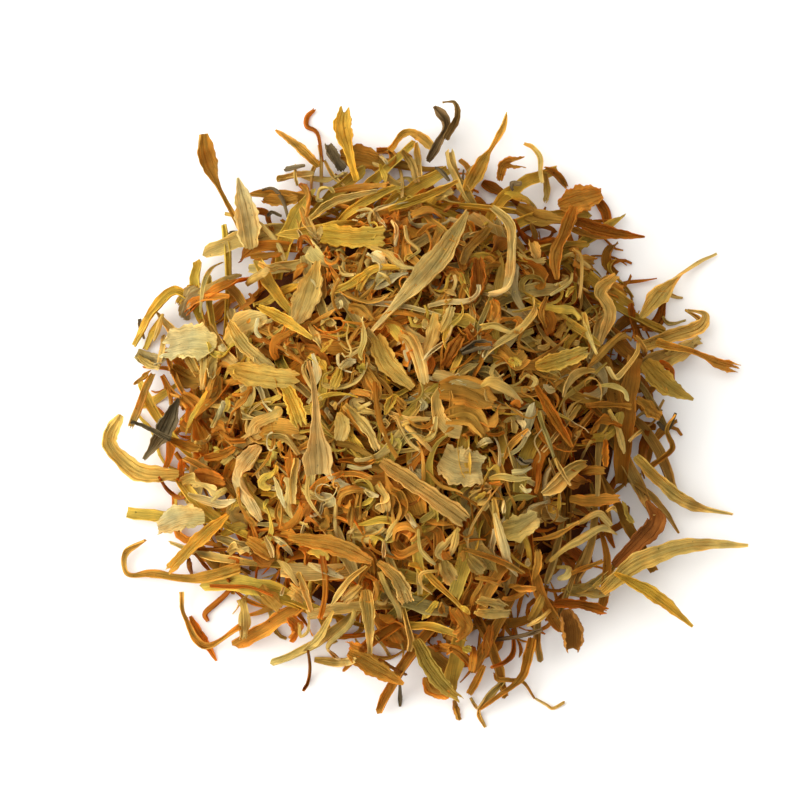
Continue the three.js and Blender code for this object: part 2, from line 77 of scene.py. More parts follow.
def make_camera():
    """A camera on a ray from the aim: back along -Y and up by the elevation."""
    camera = bpy.data.objects.new("camera", bpy.data.cameras.new("camera"))
    bpy.context.scene.collection.objects.link(camera)
    bpy.context.scene.camera = camera
    back = Vector((0, -math.cos(ELEVATION), math.sin(ELEVATION)))
    camera.location = (AIM + back * DISTANCE) * MM
    camera.rotation_euler = (-back).to_track_quat("-Z", "Y").to_euler()
    camera.data.sensor_width = SENSOR
    camera.data.lens = SENSOR * DISTANCE / (PIXEL_SIZE * PHOTO_PIXELS)
    off_centre = (AIM_PIXEL - PHOTO_PIXELS / 2) / PHOTO_PIXELS
    camera.data.shift_x = -off_centre
    camera.data.shift_y = off_centre
    camera.data.clip_start = NEAREST_SEEN * MM
    return camera


camera = make_camera()
print("lens, mm:", round(camera.data.lens, 1))

# %% [markdown]
# ## The bed
#
# Petals poured from a hand make a low dome with a soft shoulder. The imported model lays
# its petals over such a dome, so the same formula is written again here: with it, a
# path given as x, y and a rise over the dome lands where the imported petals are.

# %% The dome that the petals lie on
HEAP_HEIGHT = 24.5
HEAP_SPREAD = 34
HEAP_SHOULDER = 3.1


def bed(x, y):
    """Height of the dome: its top height times e to the minus (radius / spread) to the
    power shoulder."""
    return HEAP_HEIGHT * np.exp(-((np.hypot(x, y) / HEAP_SPREAD) ** HEAP_SHOULDER))


def bed_slope(x, y):
    """The dome's slope along x and along y: its fall with the radius, shared out."""
    radius = np.maximum(np.hypot(x, y), 1e-6)
    fall = -bed(x, y) * HEAP_SHOULDER * (radius / HEAP_SPREAD) ** HEAP_SHOULDER / radius
    return fall * x / radius, fall * y / radius


print("dome, mm, at 0, 20 and 40 mm out:", np.round(bed(np.array([0, 20, 40]), 0), 1))

# %% [markdown]
# ## How a dried petal is made
#
# A fresh ray petal is a flat strap. As it dries, its edges curl up towards each other,
# it twists along its length, fine veins draw its face into lines, and its toothed tip
# stands out. A cloth simulation could crumple hundreds of flat straps, but it is slow
# and gives no say over where each one ends up. Here every petal is instead a sheet
# worked out on a grid: `along` runs from its base to its tip, `across` from one edge to
# the other. One function makes any number of petals at once, as one numpy array.

# %% Outlines
# Width at the base and the tip as shares of the greatest width, and where that is
STRAP = (0.55, 0.75, 0.45)
LANCE = (0.4, 0.25, 0.5)
SPOON = (0.3, 0.7, 0.8)
STRIP = (0.7, 0.6, 0.5)
SHIELD = (0.55, 0.6, 0.5)


def outline(forms, along):
    """Share of the greatest width: from the end's share up to 1 by a quarter sine wave
    over the way from that end to the widest place. forms is one row for each petal."""
    base, tip, widest = (np.asarray(forms, float)[:, k, None] for k in range(3))
    rising = along < widest
    end = np.where(rising, base, tip)
    share = np.where(rising, along / widest, (1 - along) / (1 - widest))
    return end + (1 - end) * np.sin(np.pi / 2 * share)


# %% A face that is carried along the petal
def unit(vectors):
    """The same directions with a length of 1."""
    return vectors / np.maximum(np.linalg.norm(vectors, axis=-1, keepdims=True), 1e-9)


def carried_frames(centres, turns):
    """For middle lines of shape (petals, stations, 3): the direction ahead, the side and
    the face at each station. The face starts level, loses what points ahead at each
    station, and is then turned about the direction ahead by that station's turn."""
    following = np.concatenate([centres[:, 1:], centres[:, -1:]], axis=1)
    leading = np.concatenate([centres[:, :1], centres[:, :-1]], axis=1)
    ahead = unit(following - leading)
    face = np.empty_like(centres)
    carried = np.tile([0.0, 0.0, 1.0], (len(centres), 1))
    for k in range(centres.shape[1]):
        carried = unit(carried - (carried * ahead[:, k]).sum(-1, keepdims=True) * ahead[:, k])
        face[:, k] = carried
    cos, sin = np.cos(turns)[..., None], np.sin(turns)[..., None]
    face = face * cos + np.cross(ahead, face) * sin
    return ahead, np.cross(ahead, face), face


# %% The sheet of a petal
BLADE_THICKNESS = 0.16
EDGE_THINNING = 0.45
LEAST_CURL = 0.02
SECOND_WAVE = 0.6


def blades(centres, turns, half_widths, curl, pleat=0, folds=3, crease=0, ruffle=0, ragged=0,
           teeth=0, fork=0, wrinkle=0, phase=0, columns=5):
    """Upper and lower skins of petals, each of shape (petals, stations, columns, 3).
    The turns and the curl are given for each station, and the rest for each petal.

    Across the petal, a point at share s of the half width lies on an arc: sideways by
    half width * sin(curl s) / curl and up by half width * (1 - cos(curl s)) / curl, so
    that a small curl is a shallow cup and a curl over pi / 2 a rolled strip. The whole
    arc is lowered by half of its rise, to keep the middle line inside the sheet. A
    crease folds the sheet along its middle: up by half width * crease * (|s| - 1/2).
    Pleats add two cosines across that drift along the petal, wrinkles the product of two
    slanting sines, the ruffle lifts both edges by a sine along, and ragged makes the
    width waver. How often each wave comes in a petal is chosen so that no two of them
    fall into step. Teeth draw the tip out into three points over its last quarter, and a
    fork pulls its middle back over the outer half."""
    count, stations = centres.shape[:2]
    column = lambda value: np.broadcast_to(np.asarray(value, float), (count,))[:, None, None]
    ahead, side, face = carried_frames(centres, turns)
    s = np.linspace(-1, 1, columns)[None, None, :]
    t = np.linspace(0, 1, stations)[None, :, None]
    wave = lambda along, across, shift: np.sin(along * t + shift * column(phase) + across * s)
    half = half_widths[:, :, None]
    edge_waves = wave(23, 2, 3) + SECOND_WAVE * wave(57, 1, 1)
    waver = 1 + column(ragged) * edge_waves * np.abs(s)
    bend = np.maximum(np.broadcast_to(curl, (count, stations))[:, :, None], LEAST_CURL)
    angle = bend * s
    sideways = half * waver * np.sin(angle) / bend
    up = half * (0.5 + 0.5 * np.cos(bend) - np.cos(angle)) / bend
    ridges = np.cos(np.pi * folds * s + 1.2 * wave(3, 0, 1))
    ridges = ridges + SECOND_WAVE * np.cos(1.7 * np.pi * folds * s + 2 * column(phase) + 3 * t)
    up = up + column(pleat) * ridges * half / half.max(1, keepdims=True)
    up = up + half * column(crease) * (np.abs(s) - 0.5)
    up = up + column(ruffle) * s ** 2 * wave(11, 1.3, 1)
    up = up + column(wrinkle) * wave(15, 2.3, 1) * wave(9, -3.1, 2)
    out = column(teeth) * (np.cos(3 * np.pi * s) - 1) * 0.5 * np.clip(t * 4 - 3, 0, 1) ** 2
    out = out - column(fork) * np.cos(np.pi / 2 * s) ** 2 * np.clip(t * 2 - 1, 0, 1) ** 1.5
    shape = (..., None)
    sheet = (centres[:, :, None] + side[:, :, None] * sideways[shape]
             + face[:, :, None] * up[shape] + ahead[:, :, None] * out[shape])
    normal = face[:, :, None] * np.cos(angle)[shape] - side[:, :, None] * np.sin(angle)[shape]
    rim = 1 - EDGE_THINNING * np.abs(s) ** 3
    skin = normal * (BLADE_THICKNESS / 2 * rim)[shape]
    return sheet + skin, sheet - skin


# %% From skins to a closed mesh
def blade_faces(stations, columns):
    """Corner numbers of one petal's faces. The upper skin's points come first, row by
    row, then the lower skin's. Two skins and a strip round all four edges close it."""
    upper = np.arange(stations * columns).reshape(stations, columns)
    lower = upper + stations * columns
    quad = lambda a, b, c, d: np.stack([a, b, c, d], -1).reshape(-1, 4)
    skins = [
        quad(upper[:-1, :-1], upper[:-1, 1:], upper[1:, 1:], upper[1:, :-1]),
        quad(lower[:-1, :-1], lower[1:, :-1], lower[1:, 1:], lower[:-1, 1:]),
    ]
    edges = [
        quad(upper[:-1, 0], upper[1:, 0], lower[1:, 0], lower[:-1, 0]),
        quad(upper[:-1, -1], lower[:-1, -1], lower[1:, -1], upper[1:, -1]),
        quad(upper[0, :-1], lower[0, :-1], lower[0, 1:], upper[0, 1:]),
        quad(upper[-1, :-1], upper[-1, 1:], lower[-1, 1:], lower[-1, :-1]),
    ]
    return np.concatenate(skins + edges)


SHARP_FROM = math.radians(70)
# The tint's factor in a petal's middle, and what is added towards its edges: a painted highlight where the
# curled edges catch the light and let it through
MIDDLE_SHADE = 0.83
EDGE_PAINTED_HIGHLIGHT = 0.25
NEXT_ALONG = 3.7
NEXT_ACROSS = 1.3


def mesh_piece(name, points, faces, tint, along_across):
    """A mesh object at the origin from points in mm, quads, a colour for each point and
    a place on the petal for each point, in mm along and across it, as its UV map."""
    mesh = bpy.data.meshes.new(name)
    mesh.vertices.add(len(points))
    mesh.vertices.foreach_set("co", (points * MM).astype(np.float32).ravel())
    mesh.loops.add(faces.size)
    mesh.loops.foreach_set("vertex_index", faces.astype(np.int32).ravel())
    mesh.polygons.add(len(faces))
    mesh.polygons.foreach_set("loop_start", np.arange(0, faces.size, 4, dtype=np.int32))
    mesh.polygons.foreach_set("use_smooth", np.ones(len(faces), bool))
    mesh.update(calc_edges=True)
    mesh.validate()
    colour = mesh.attributes.new("tint", "FLOAT_COLOR", "POINT")
    rgba = np.concatenate([tint, np.ones((len(tint), 1))], axis=1)
    colour.data.foreach_set("color", rgba.astype(np.float32).ravel())
    uv = mesh.uv_layers.new(name="petal")
    uv.data.foreach_set("uv", along_across[faces.ravel()].astype(np.float32).ravel())
    mesh.set_sharp_from_angle(angle=SHARP_FROM)
    piece = bpy.data.objects.new(name, mesh)
    bpy.context.scene.collection.objects.link(piece)
    return piece


def petals_piece(name, skins, tints, lengths, half_widths):
    """One object that holds all these petals. tints has a colour for each petal's base
    and tip, of shape (petals, 2, 3). The colour runs evenly from one to the other, and
    gets lighter from the middle to the edges, a painted highlight where the curled edges
    catch the light and let it through. Each petal lies a few millimetres further along
    and across the UV map than the one before, so that their veins differ."""
    upper, lower = skins
    count, stations, columns = upper.shape[:3]
    points = np.stack([upper, lower], axis=1).reshape(-1, 3)
    number = np.arange(count)[:, None, None]
    faces = (number * 2 * stations * columns + blade_faces(stations, columns)).reshape(-1, 4)
    t = np.linspace(0, 1, stations)[None, :, None]
    s = np.linspace(-1, 1, columns)[None, None, :]
    # Lighter towards the edges: painted highlight of curled edges that catch and pass the light
    shade = (MIDDLE_SHADE + EDGE_PAINTED_HIGHLIGHT * np.abs(s) ** 1.5) * np.ones_like(t)
    tint = tints[:, 0, None, None] * (1 - t[..., None]) + tints[:, 1, None, None] * t[..., None]
    tint = np.broadcast_to(tint, (count, stations, columns, 3)) * shade[..., None]
    place = np.stack(np.broadcast_arrays(
        number * NEXT_ALONG + t * np.reshape(lengths, (-1, 1, 1)),
        number * NEXT_ACROSS + s * half_widths[:, :, None]), axis=-1)
    both = lambda grid: np.stack([grid, grid], axis=1).reshape(-1, grid.shape[-1])
    return mesh_piece(name, points, faces, both(tint), both(place))


# %% [markdown]
# ## The finish of a dried petal
#
# A dried petal is thin enough for light to come through, which is why the gaps deep in
# the heap glow orange instead of going black. So each finish mixes a plain rough surface
# with a translucent one. The colour itself sits on the points of the mesh as `tint`, so
# that one finish serves many petals of different shades. Over it lie fine veins that run
# along the petal, drawn from its own UV map in millimetres, and soft blotches, brown
# stains and a few dark specks from the place in space. The veins also lift the surface a
# little.

# %% Petal finish
def add_node(tree, kind, **inputs):
    """A shader node with its inputs set. An input is a number or another node's output."""
    node = tree.nodes.new(kind)
    for name, value in inputs.items():
        socket = node.inputs[name.replace("_", " ")]
        if isinstance(value, bpy.types.NodeSocket):
            tree.links.new(value, socket)
        else:
            socket.default_value = value
    return node


def multiply(tree, colour, factor):
    """A colour times a number that varies over the surface."""
    node = tree.nodes.new("ShaderNodeVectorMath")
    node.operation = "SCALE"
    tree.links.new(colour, node.inputs[0])
    tree.links.new(factor, node.inputs["Scale"])
    return node.outputs[0]


def spread(tree, value, low, high, dark, light):
    """A number mapped from low..high to dark..light, and held there outside."""
    node = tree.nodes.new("ShaderNodeMapRange")
    tree.links.new(value, node.inputs["Value"])
    for name, number in zip(("From Min", "From Max", "To Min", "To Max"), (low, high, dark, light)):
        node.inputs[name].default_value = number
    return node.outputs["Result"]


def noise(tree, place, scale, detail, **more):
    """The number, mostly from 0.3 to 0.7, that a noise pattern has at each place."""
    node = add_node(tree, "ShaderNodeTexNoise", Vector=place, Scale=scale, Detail=detail, **more)
    return node.outputs[0]


# Waves of the vein pattern in a millimetre along and across, and of the others in a metre
VEIN_STRETCH = (0.13, 4.6, 1)
BLOTCH_SCALE, SPECK_SCALE, STAIN_SCALE = 330.0, 1500.0, 170.0
# Noise from, noise to, and what the colour is multiplied by at both
VEIN_RUN = (0.34, 0.66, 0.77, 1.15)
BLOTCH_RUN = (0.35, 0.65, 0.82, 1.12)
SPECK_RUN = (0.73, 0.79, 1.0, 0.5)
# Noise from, noise to, and the share of the stain's colour at both
STAIN_RUN = (0.48, 0.68, 0.0, 0.6)
STAIN = (0.86, 0.62, 0.34, 1)
VEIN_HEIGHT = 0.55
SHEEN = 0.12
THROUGH_GAMMA = 1.2


def petal_finish(name, roughness, through, vein_depth=0.9):
    """Veins, stains, blotches and specks over the tint, on a surface that lets a share
    of the light through. That light is deeper in colour, by a power above 1."""
    material = bpy.data.materials.new(name)
    material.use_nodes = True
    tree = material.node_tree
    tree.nodes.clear()
    tint = add_node(tree, "ShaderNodeAttribute")
    tint.attribute_name = "tint"
    petal = add_node(tree, "ShaderNodeUVMap")
    petal.uv_map = "petal"
    place = add_node(tree, "ShaderNodeTexCoord")

    stretched = add_node(tree, "ShaderNodeMapping", Vector=petal.outputs["UV"], Scale=VEIN_STRETCH)
    vein = noise(tree, stretched.outputs["Vector"], 1.0, 3.0, Roughness=0.65)
    blotch = noise(tree, place.outputs["Object"], BLOTCH_SCALE, 3.0)
    speck = noise(tree, place.outputs["Object"], SPECK_SCALE, 1.0)
    stain = noise(tree, place.outputs["Object"], STAIN_SCALE, 2.0)
    stained = tree.nodes.new("ShaderNodeMix")
    stained.data_type = "RGBA"
    stained.blend_type = "MULTIPLY"
    colour_a, colour_b, colour_out = stained.inputs[6], stained.inputs[7], stained.outputs[2]
    tree.links.new(spread(tree, stain, *STAIN_RUN), stained.inputs[0])
    tree.links.new(tint.outputs["Color"], colour_a)
    colour_b.default_value = STAIN
    veined = multiply(tree, colour_out, spread(tree, vein, *VEIN_RUN))
    blotched = multiply(tree, veined, spread(tree, blotch, *BLOTCH_RUN))
    specked = multiply(tree, blotched, spread(tree, speck, *SPECK_RUN))

    bump = add_node(tree, "ShaderNodeBump", Height=vein, Strength=vein_depth,
                    Distance=VEIN_HEIGHT * MM)
    surface = add_node(tree, "ShaderNodeBsdfPrincipled", Base_Color=specked, Roughness=roughness,
                       Normal=bump.outputs["Normal"])
    surface.inputs["Specular IOR Level"].default_value = SHEEN
    glow = add_node(tree, "ShaderNodeGamma", Color=specked, Gamma=THROUGH_GAMMA)
    behind = add_node(tree, "ShaderNodeBsdfTranslucent", Color=glow.outputs[0],
                      Normal=bump.outputs["Normal"])
    both = add_node(tree, "ShaderNodeMixShader", Fac=through)
    tree.links.new(surface.outputs[0], both.inputs[1])
    tree.links.new(behind.outputs[0], both.inputs[2])
    output = add_node(tree, "ShaderNodeOutputMaterial")
    tree.links.new(both.outputs[0], output.inputs["Surface"])
    return material


# After the name: how rough it is, and the share of the light that goes through
FINISHES = {
    "orange": petal_finish("orange petal", 0.55, 0.55),
    "amber": petal_finish("amber petal", 0.55, 0.52),
    "yellow": petal_finish("yellow petal", 0.5, 0.42),
    "straw": petal_finish("straw petal", 0.55, 0.42),
    "pale": petal_finish("pale petal", 0.5, 0.42),
    "olive": petal_finish("olive petal", 0.6, 0.34),
    "rust": petal_finish("rust petal", 0.6, 0.54),
    "dead": petal_finish("dead petal", 0.7, 0.15, vein_depth=1.0),
    "leaf": petal_finish("dead leaf", 0.75, 0.06, vein_depth=1.0),
}
print("finishes:", ", ".join(FINISHES))

# %% [markdown]
# ## Colours
#
# Marigold petals dry to anything between deep orange and straw. Each finish has a base
# colour and a tip colour in display values, turned to linear light here because shader
# colours are linear. Each petal then gets its own brightness and warmth.

# %% Colours of each finish
SHADES = {
    "orange": [(228, 150, 44), (240, 174, 62)],
    "amber": [(222, 162, 58), (236, 182, 78)],
    "yellow": [(244, 202, 70), (250, 217, 98)],
    "straw": [(241, 203, 98), (249, 219, 132)],
    "pale": [(240, 213, 130), (248, 230, 168)],
    "olive": [(198, 162, 66), (212, 180, 84)],
    "rust": [(200, 120, 34), (218, 144, 48)],
    "dead": [(128, 76, 34), (150, 92, 42)],
    "leaf": [(96, 80, 54), (134, 114, 78)],
}


def linear(display):
    """Display values from 0 to 255 as linear light, by the two-part display curve."""
    share = np.asarray(display, float) / 255
    return np.where(share <= 0.04045, share / 12.92, ((share + 0.055) / 1.055) ** 2.4)


BRIGHTEST = 0.95
WARMTH_SPREAD = 0.028


def held(tints):
    """Tints too bright for a surface are darkened as a whole, so that they keep their hue."""
    return tints * np.minimum(1, BRIGHTEST / tints.max(axis=-1, keepdims=True))


def petal_tints(pair, rng, count, vary=0.13):
    """A base and a tip colour for each of count petals: the given pair, a little
    brighter or darker (vary is by how much) and a little redder or greener by chance."""
    pair = linear(pair)[None]
    bright = np.exp(rng.normal(0, vary, (count, 1, 1)))
    warm = rng.normal(0, WARMTH_SPREAD, (count, 1))
    warmth = np.stack([1 + 0.3 * warm, 1 - warm, 1 - 2 * warm], axis=-1)
    return held(pair * bright * warmth)

# %% [markdown]
# ## The petals that can be told apart
#
# On top of the heap and round its rim, 58 petals can be picked out in the photograph,
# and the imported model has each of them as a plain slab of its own. Each row below
# repeats the slab's path: x, y and the rise over the dome, in mm. Before it stand how
# far the face is turned, in radians, at the base and at the tip or at even steps, and
# the full width at even steps along the petal, in mm, as seen in the photograph. After
# it come the things that make that petal special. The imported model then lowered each
# slab until it touched what lies below, and tipped its outer end down. That lowering
# isn't repeated here. It is read back from the slab's own points in the frame.

# %% The rows
Petal = namedtuple("Petal", "name finish turns widths path curl teeth fork ruffle colours")


def petal(name, finish, turns, widths, path, curl=0.6, teeth=0.0, fork=0.0, ruffle=0.12,
          colours=None):
    """One row. Curl is how far the sheet bends across, as in blades, teeth, fork and
    ruffle are in mm, and colours are the display values of the base and the tip."""
    colours = colours or SHADES[finish]
    return Petal(name, finish, turns, widths, path, curl, teeth, fork, ruffle, colours)


GOLD = ((246, 200, 84), (250, 212, 112))
LOOSE = [
    petal("ribbon_left", "orange", (-0.1, 0.7), [2.0, 1.9, 1.3, 1.6, 0.9, 0.8, 1.4, 0.8],
          [(-28.5, -25.5, 3), (-36, -27, 2), (-43, -26, 1.5),
           (-47.5, -26, 1.2), (-48, -22.5, 1.5), (-44.5, -20.5, 2.5)], ruffle=0.4, colours=GOLD),
    petal("ring_left_below", "orange", (0.2, 0.8), [1.3, 1.1, 1.5, 1.0, 0.9, 0.6],
          [(-28.5, -35, 1.5), (-34.5, -38, 1.5), (-38, -33, 2), (-38.5, -29, 3)],
          curl=1.1, ruffle=0.35, colours=GOLD),
    petal("strap_left_below", "orange", (0.05, 0.35), [1.1, 2.2, 2.5, 2.4, 2.0, 1.6],
          [(-30, -17.5, 3), (-35.5, -21.5, 2.2), (-40.5, -26, 1.5)], curl=0.9, ruffle=0.3, teeth=0.7,
          colours=((252, 208, 78), (254, 216, 100))),
    petal("pale_left_below", "pale", (0.0, 0.2), [2.2, 4.0, 4.4, 4.0, 2.6],
          [(-34, -17.5, 2.5), (-38, -17.5, 2.5), (-42, -19, 2)], curl=0.4, ruffle=0.4),
    petal("ring_left", "straw", (0.1, 0.6), [2.0, 3.1, 3.2, 2.8, 2.6, 2.4, 0.9],
          [(-38.5, -10.5, 3), (-45.5, -9.5, 2),
           (-50.5, -4.5, 1.5), (-48.5, 0, 3)], ruffle=0.45, colours=((236, 200, 98), (242, 214, 120))),
    petal("dark_leaf", "leaf", (-0.4, -0.2), [0.6, 2.0, 3.1, 3.3, 2.4, 1.3, 0.6],
          [(-38.5, 2, 3), (-41, -3, 2.5), (-44.5, -7.5, 1.5)], curl=0.8),
    petal("dark_stalk", "leaf", (-0.1, 0.1), [0.7, 0.6, 0.8, 1.0],
          [(-46.5, -1.5, 1.2), (-44, -2.5, 1.5), (-39.5, -5, 2.5)]),
    petal("arched_left", "yellow", (0.2, 0.6), [1.1, 1.6, 2.0, 2.2, 1.8, 1.0],
          [(-37, 19.5, 3), (-40, 21, 5), (-44, 17.5, 3.5), (-47, 12.5, 1.5)], curl=1.0),
    petal("pale_left", "pale", (0.1, 0.2), [3.4, 5.6, 6.4, 6.2, 5.4, 4.2],
          [(-32.5, 10.5, 4), (-37, 11.5, 4), (-42, 11, 2.5)], curl=0.45, teeth=1.8, ruffle=0.4),
    petal("spoon_top_left", "orange", (0.3, 0.4, 0.4, 0.5), [1.2, 1.1, 1.1, 1.3, 2.4, 3.8, 3.8, 2.2],
          [(-28.5, 31, 3), (-31, 35.5, 2.5), (-33.5, 40.5, 3),
           (-35, 44, 4), (-35.5, 48, 5.5)], curl=1.0, ruffle=0.35,
          colours=((224, 176, 72), (234, 192, 92))),
    petal("pale_point_top_left", "pale", (0.1, 0.3), [2.6, 3.9, 4.2, 3.6, 2.2, 0.4],
          [(-27, 27.5, 3), (-28, 34, 2.5), (-29.5, 40.5, 3)], curl=0.5),
    petal("spike_top_left", "orange", (0.05, 0.35), [1.3, 1.7, 1.8, 1.5, 1.0, 0.3],
          [(-16, 42.5, 2.5), (-19.5, 46.5, 2), (-23.5, 50, 1.8)], curl=0.9, colours=GOLD),
    petal("grey_scrap", "leaf", (0.35, 0.45), [2.4, 2.0, 2.6, 2.2, 1.6],
          [(-12, 42, 3), (-13.5, 44.5, 2.5), (-14.5, 47, 2)], curl=1.2),
    petal("upright_yellow", "yellow", (0.0, 0.2), [1.2, 1.3, 1.9, 3.1, 3.4, 2.8, 1.6],
          [(-9.5, 39.5, 3), (-11, 45.5, 2.5), (-12, 49.5, 3), (-11.5, 53, 4)], curl=0.7, fork=1.0),
    petal("arc_top", "orange", (0.35, 0.65), [1.2, 1.2, 1.4, 1.3, 2.2, 2.4, 1.2],
          [(-4, 46, 2.5), (-1.5, 49, 3.5), (1, 48.5, 4), (4, 46, 3)], colours=GOLD),
    petal("dark_bract", "leaf", (0.25, 0.75), [1.3, 1.8, 1.2, 1.5, 2.0, 1.5, 0.5],
          [(2.5, 43.5, 2.5), (4.5, 47.5, 2.5), (5.5, 50.5, 3), (3.5, 53, 4.5)], curl=1.1, ruffle=0.5,
          colours=((120, 92, 56), (142, 110, 70))),
    petal("bract_curl", "leaf", (0.15, 0.45), [1.2, 1.3, 1.1, 0.8, 0.5, 0.3],
          [(5.5, 47.5, 2), (7.5, 51.5, 3), (7, 54, 4), (5, 54, 5)],
          colours=((136, 108, 60), (150, 120, 70))),
    petal("hook_top", "orange", (0.1, 0.7), [2.0, 2.9, 2.6, 1.0, 1.3, 1.3, 0.9, 0.2],
          [(9, 38, 3), (12, 44, 2.6), (15, 49.5, 2.5), (16, 52.5, 4)], curl=1.0, colours=GOLD),
    petal("fork_top_right", "amber", (0.1, 0.5), [1.3, 1.6, 2.0, 2.2, 2.0],
          [(14.5, 40, 2.5), (15.5, 43, 2.5), (19, 43.5, 3)], fork=2.6, curl=0.6),
    petal("broad_top_right", "amber", (0.15, 0.25), [1.8, 3.8, 4.6, 4.5, 3.4, 1.8],
          [(24.5, 35.5, 3), (28, 37, 3.2), (32, 38.5, 2.5)], curl=0.3),
    petal("point_right_above", "rust", (0.1, 0.5), [1.6, 2.3, 2.4, 2.0, 1.2, 0.3],
          [(27, 32.5, 3), (33, 31, 2.5), (39, 30.5, 2)], curl=0.9),
    petal("twist_right_above", "straw", (0.1, 0.2, 1.2, 2.4, 2.9),
          [1.0, 2.4, 3.5, 3.0, 1.5, 1.0, 1.1, 0.7, 0.5],
          [(38, 16.5, 2.5), (42, 21.5, 2.5), (47, 26, 2.2), (51.5, 28.5, 3)], curl=0.8),
    petal("hook_right", "straw", (0.2, 0.5), [2.0, 2.2, 2.5, 2.7, 2.3, 1.4, 0.7, 0.4],
          [(38, 11.5, 2.5), (44, 14, 2.2), (48, 15.5, 2.5),
           (49, 17.5, 3.5), (46, 18, 4.5)], curl=0.7),
    petal("ragged_right", "orange", (0.05, 0.55), [1.8, 1.4, 1.0, 1.3, 2.1, 2.6, 2.1],
          [(40.5, 12, 2), (47, 11, 1.8), (51, 9.5, 1.5), (55, 8.5, 1.4)], teeth=1.8, curl=1.1, colours=GOLD),
    petal("point_right", "olive", (0.05, 0.25), [2.4, 3.6, 3.8, 2.8, 1.6, 0.4],
          [(38, 8, 2.5), (42, 4.5, 2.2), (46.5, 2.5, 1.5)], curl=0.5),
    petal("curl_right", "amber", (-0.1, 0.5), [1.2, 1.0, 1.2, 0.9, 0.6, 0.4],
          [(39.5, -8.5, 2), (43, -5.5, 2.5), (42, -2.5, 3.5), (43.5, 0, 4.5)], curl=1.2),
    petal("long_right", "straw", (0.1, 0.5), [1.6, 2.0, 2.2, 2.6, 2.2, 1.0, 0.5],
          [(36.5, -7.5, 2.5), (41.5, -11.5, 2), (46.5, -14.5, 1.6), (53.5, -16, 1.4)], curl=0.8),
    petal("dead_petal_right", "dead", (0.15, 0.65), [1.4, 2.6, 3.4, 4.2, 4.0, 2.4, 1.0],
          [(33, -25, 2.5), (37.5, -20.5, 2.8), (40, -17.5, 2.6), (38.5, -14.5, 3)],
          curl=0.9, colours=((160, 92, 36), (178, 108, 44))),
    petal("long_upper_right", "straw", (0.05, 0.35), [1.6, 2.6, 3.2, 3.2, 2.8, 2.2, 1.4, 0.5],
          [(31, -29.5, 2), (37, -24.5, 1.8), (46, -21.5, 1.6), (55.5, -21.5, 1.8)], curl=0.6),
    petal("long_lower_right", "yellow", (0.1, 0.4), [0.7, 1.5, 2.1, 2.3, 1.9, 1.1, 0.4],
          [(33, -26.5, 1.6), (40, -30, 1.3), (46, -35, 1.2)], curl=0.6),
    petal("stub_right_below", "rust", (0.15, 0.45), [1.4, 1.8, 1.6, 1.9, 1.4],
          [(23, -31.5, 2), (27.5, -31.5, 1.8), (32, -32.5, 1.6)], curl=1.0, teeth=0.8),
    petal("curled_pod", "dead", (0.05, 0.15), [4.6, 6.8, 7.4, 6.6, 4.0],
          [(25, -33, 2.5), (26, -36, 2.2), (26, -39, 1.6)],
          curl=2.2, colours=((176, 116, 48), (198, 138, 58))),
    petal("fork_below", "amber", (0.0, 0.6), [1.8, 1.9, 1.6, 1.1, 0.9, 0.8, 0.5],
          [(19.5, -37, 2), (18, -43, 1.5), (14.5, -46, 1.3), (11, -48.5, 1.3)], curl=1.1),
    petal("strap_below", "olive", (0.0, 0.4), [1.8, 2.5, 2.8, 2.7, 2.4, 1.8, 1.2],
          [(0.5, -37.5, 2), (3, -42, 1.6), (5.5, -45, 1.4), (8, -47, 1.4)], curl=0.6, fork=1.0),
    petal("spoon_below", "straw", (0.1, 0.3), [2.0, 2.6, 2.4, 1.9, 1.4, 1.0, 0.6],
          [(-7.5, -30, 3), (-7, -35, 2.2), (-7, -41, 1.6)], curl=0.9),
    petal("amber_below", "amber", (0.1, 0.3), [1.4, 2.6, 3.1, 2.8, 1.8, 0.5],
          [(-10.5, -39.5, 1.6), (-6, -42, 1.5), (-1.5, -44.5, 1.4)], curl=0.5),
    petal("straw_top", "straw", (0.1, 0.5), [0.8, 1.4, 1.7, 1.6, 1.2, 0.8],
          [(-17, 32, 3.5), (-13, 35, 4), (-6, 37, 3.5)], curl=1.1),
    petal("narrow_yellow_top", "yellow", (0.05, 0.55), [0.9, 1.4, 1.6, 1.4, 0.6],
          [(-4, 33, 3.5), (2, 35.5, 4), (7.5, 39, 3.5)], curl=1.0),
    petal("square_yellow", "yellow", (0.0, 0.1), [3.1, 3.6, 3.5, 3.4, 3.6, 3.5],
          [(-15, 29, 4.5), (-10, 28, 4.6), (-4.5, 28, 4.5)], curl=0.25, teeth=0.4),
    petal("spoon_left_above", "straw", (0.15, 0.25), [1.0, 1.9, 3.2, 4.4, 4.6, 3.8, 1.8],
          [(-15.5, 23.5, 4), (-16.5, 18, 4.5), (-18.5, 12.5, 4)], curl=0.6),
    petal("folded_yellow_left", "yellow", (0.15, 0.45), [0.8, 1.6, 2.1, 2.0, 1.4, 0.8],
          [(-25, 16, 4), (-20.5, 13, 4.6), (-16, 9.5, 4)], curl=1.0),
    petal("straw_left", "straw", (0.15, 0.45), [1.0, 2.0, 2.4, 2.2, 2.0, 1.4],
          [(-30, 14, 3.5), (-27, 9.5, 4), (-22.5, 5.5, 3.5)], curl=0.8),
    petal("cut_yellow_left", "yellow", (0.05, 0.15), [0.7, 2.8, 3.8, 3.9, 3.6, 3.3, 3.4],
          [(-30, 6, 4.5), (-24.5, 4, 4.8), (-18, 2.5, 4.5)],
          curl=0.35, teeth=0.9, colours=((228, 180, 70), (238, 204, 104))),
    petal("yellow_left_centre", "yellow", (0.0, 0.2), [1.7, 2.3, 2.7, 2.8, 2.4],
          [(-20, 1.5, 3.5), (-18.5, -2, 4), (-17.5, -5, 3.8)], curl=0.4, teeth=0.9),
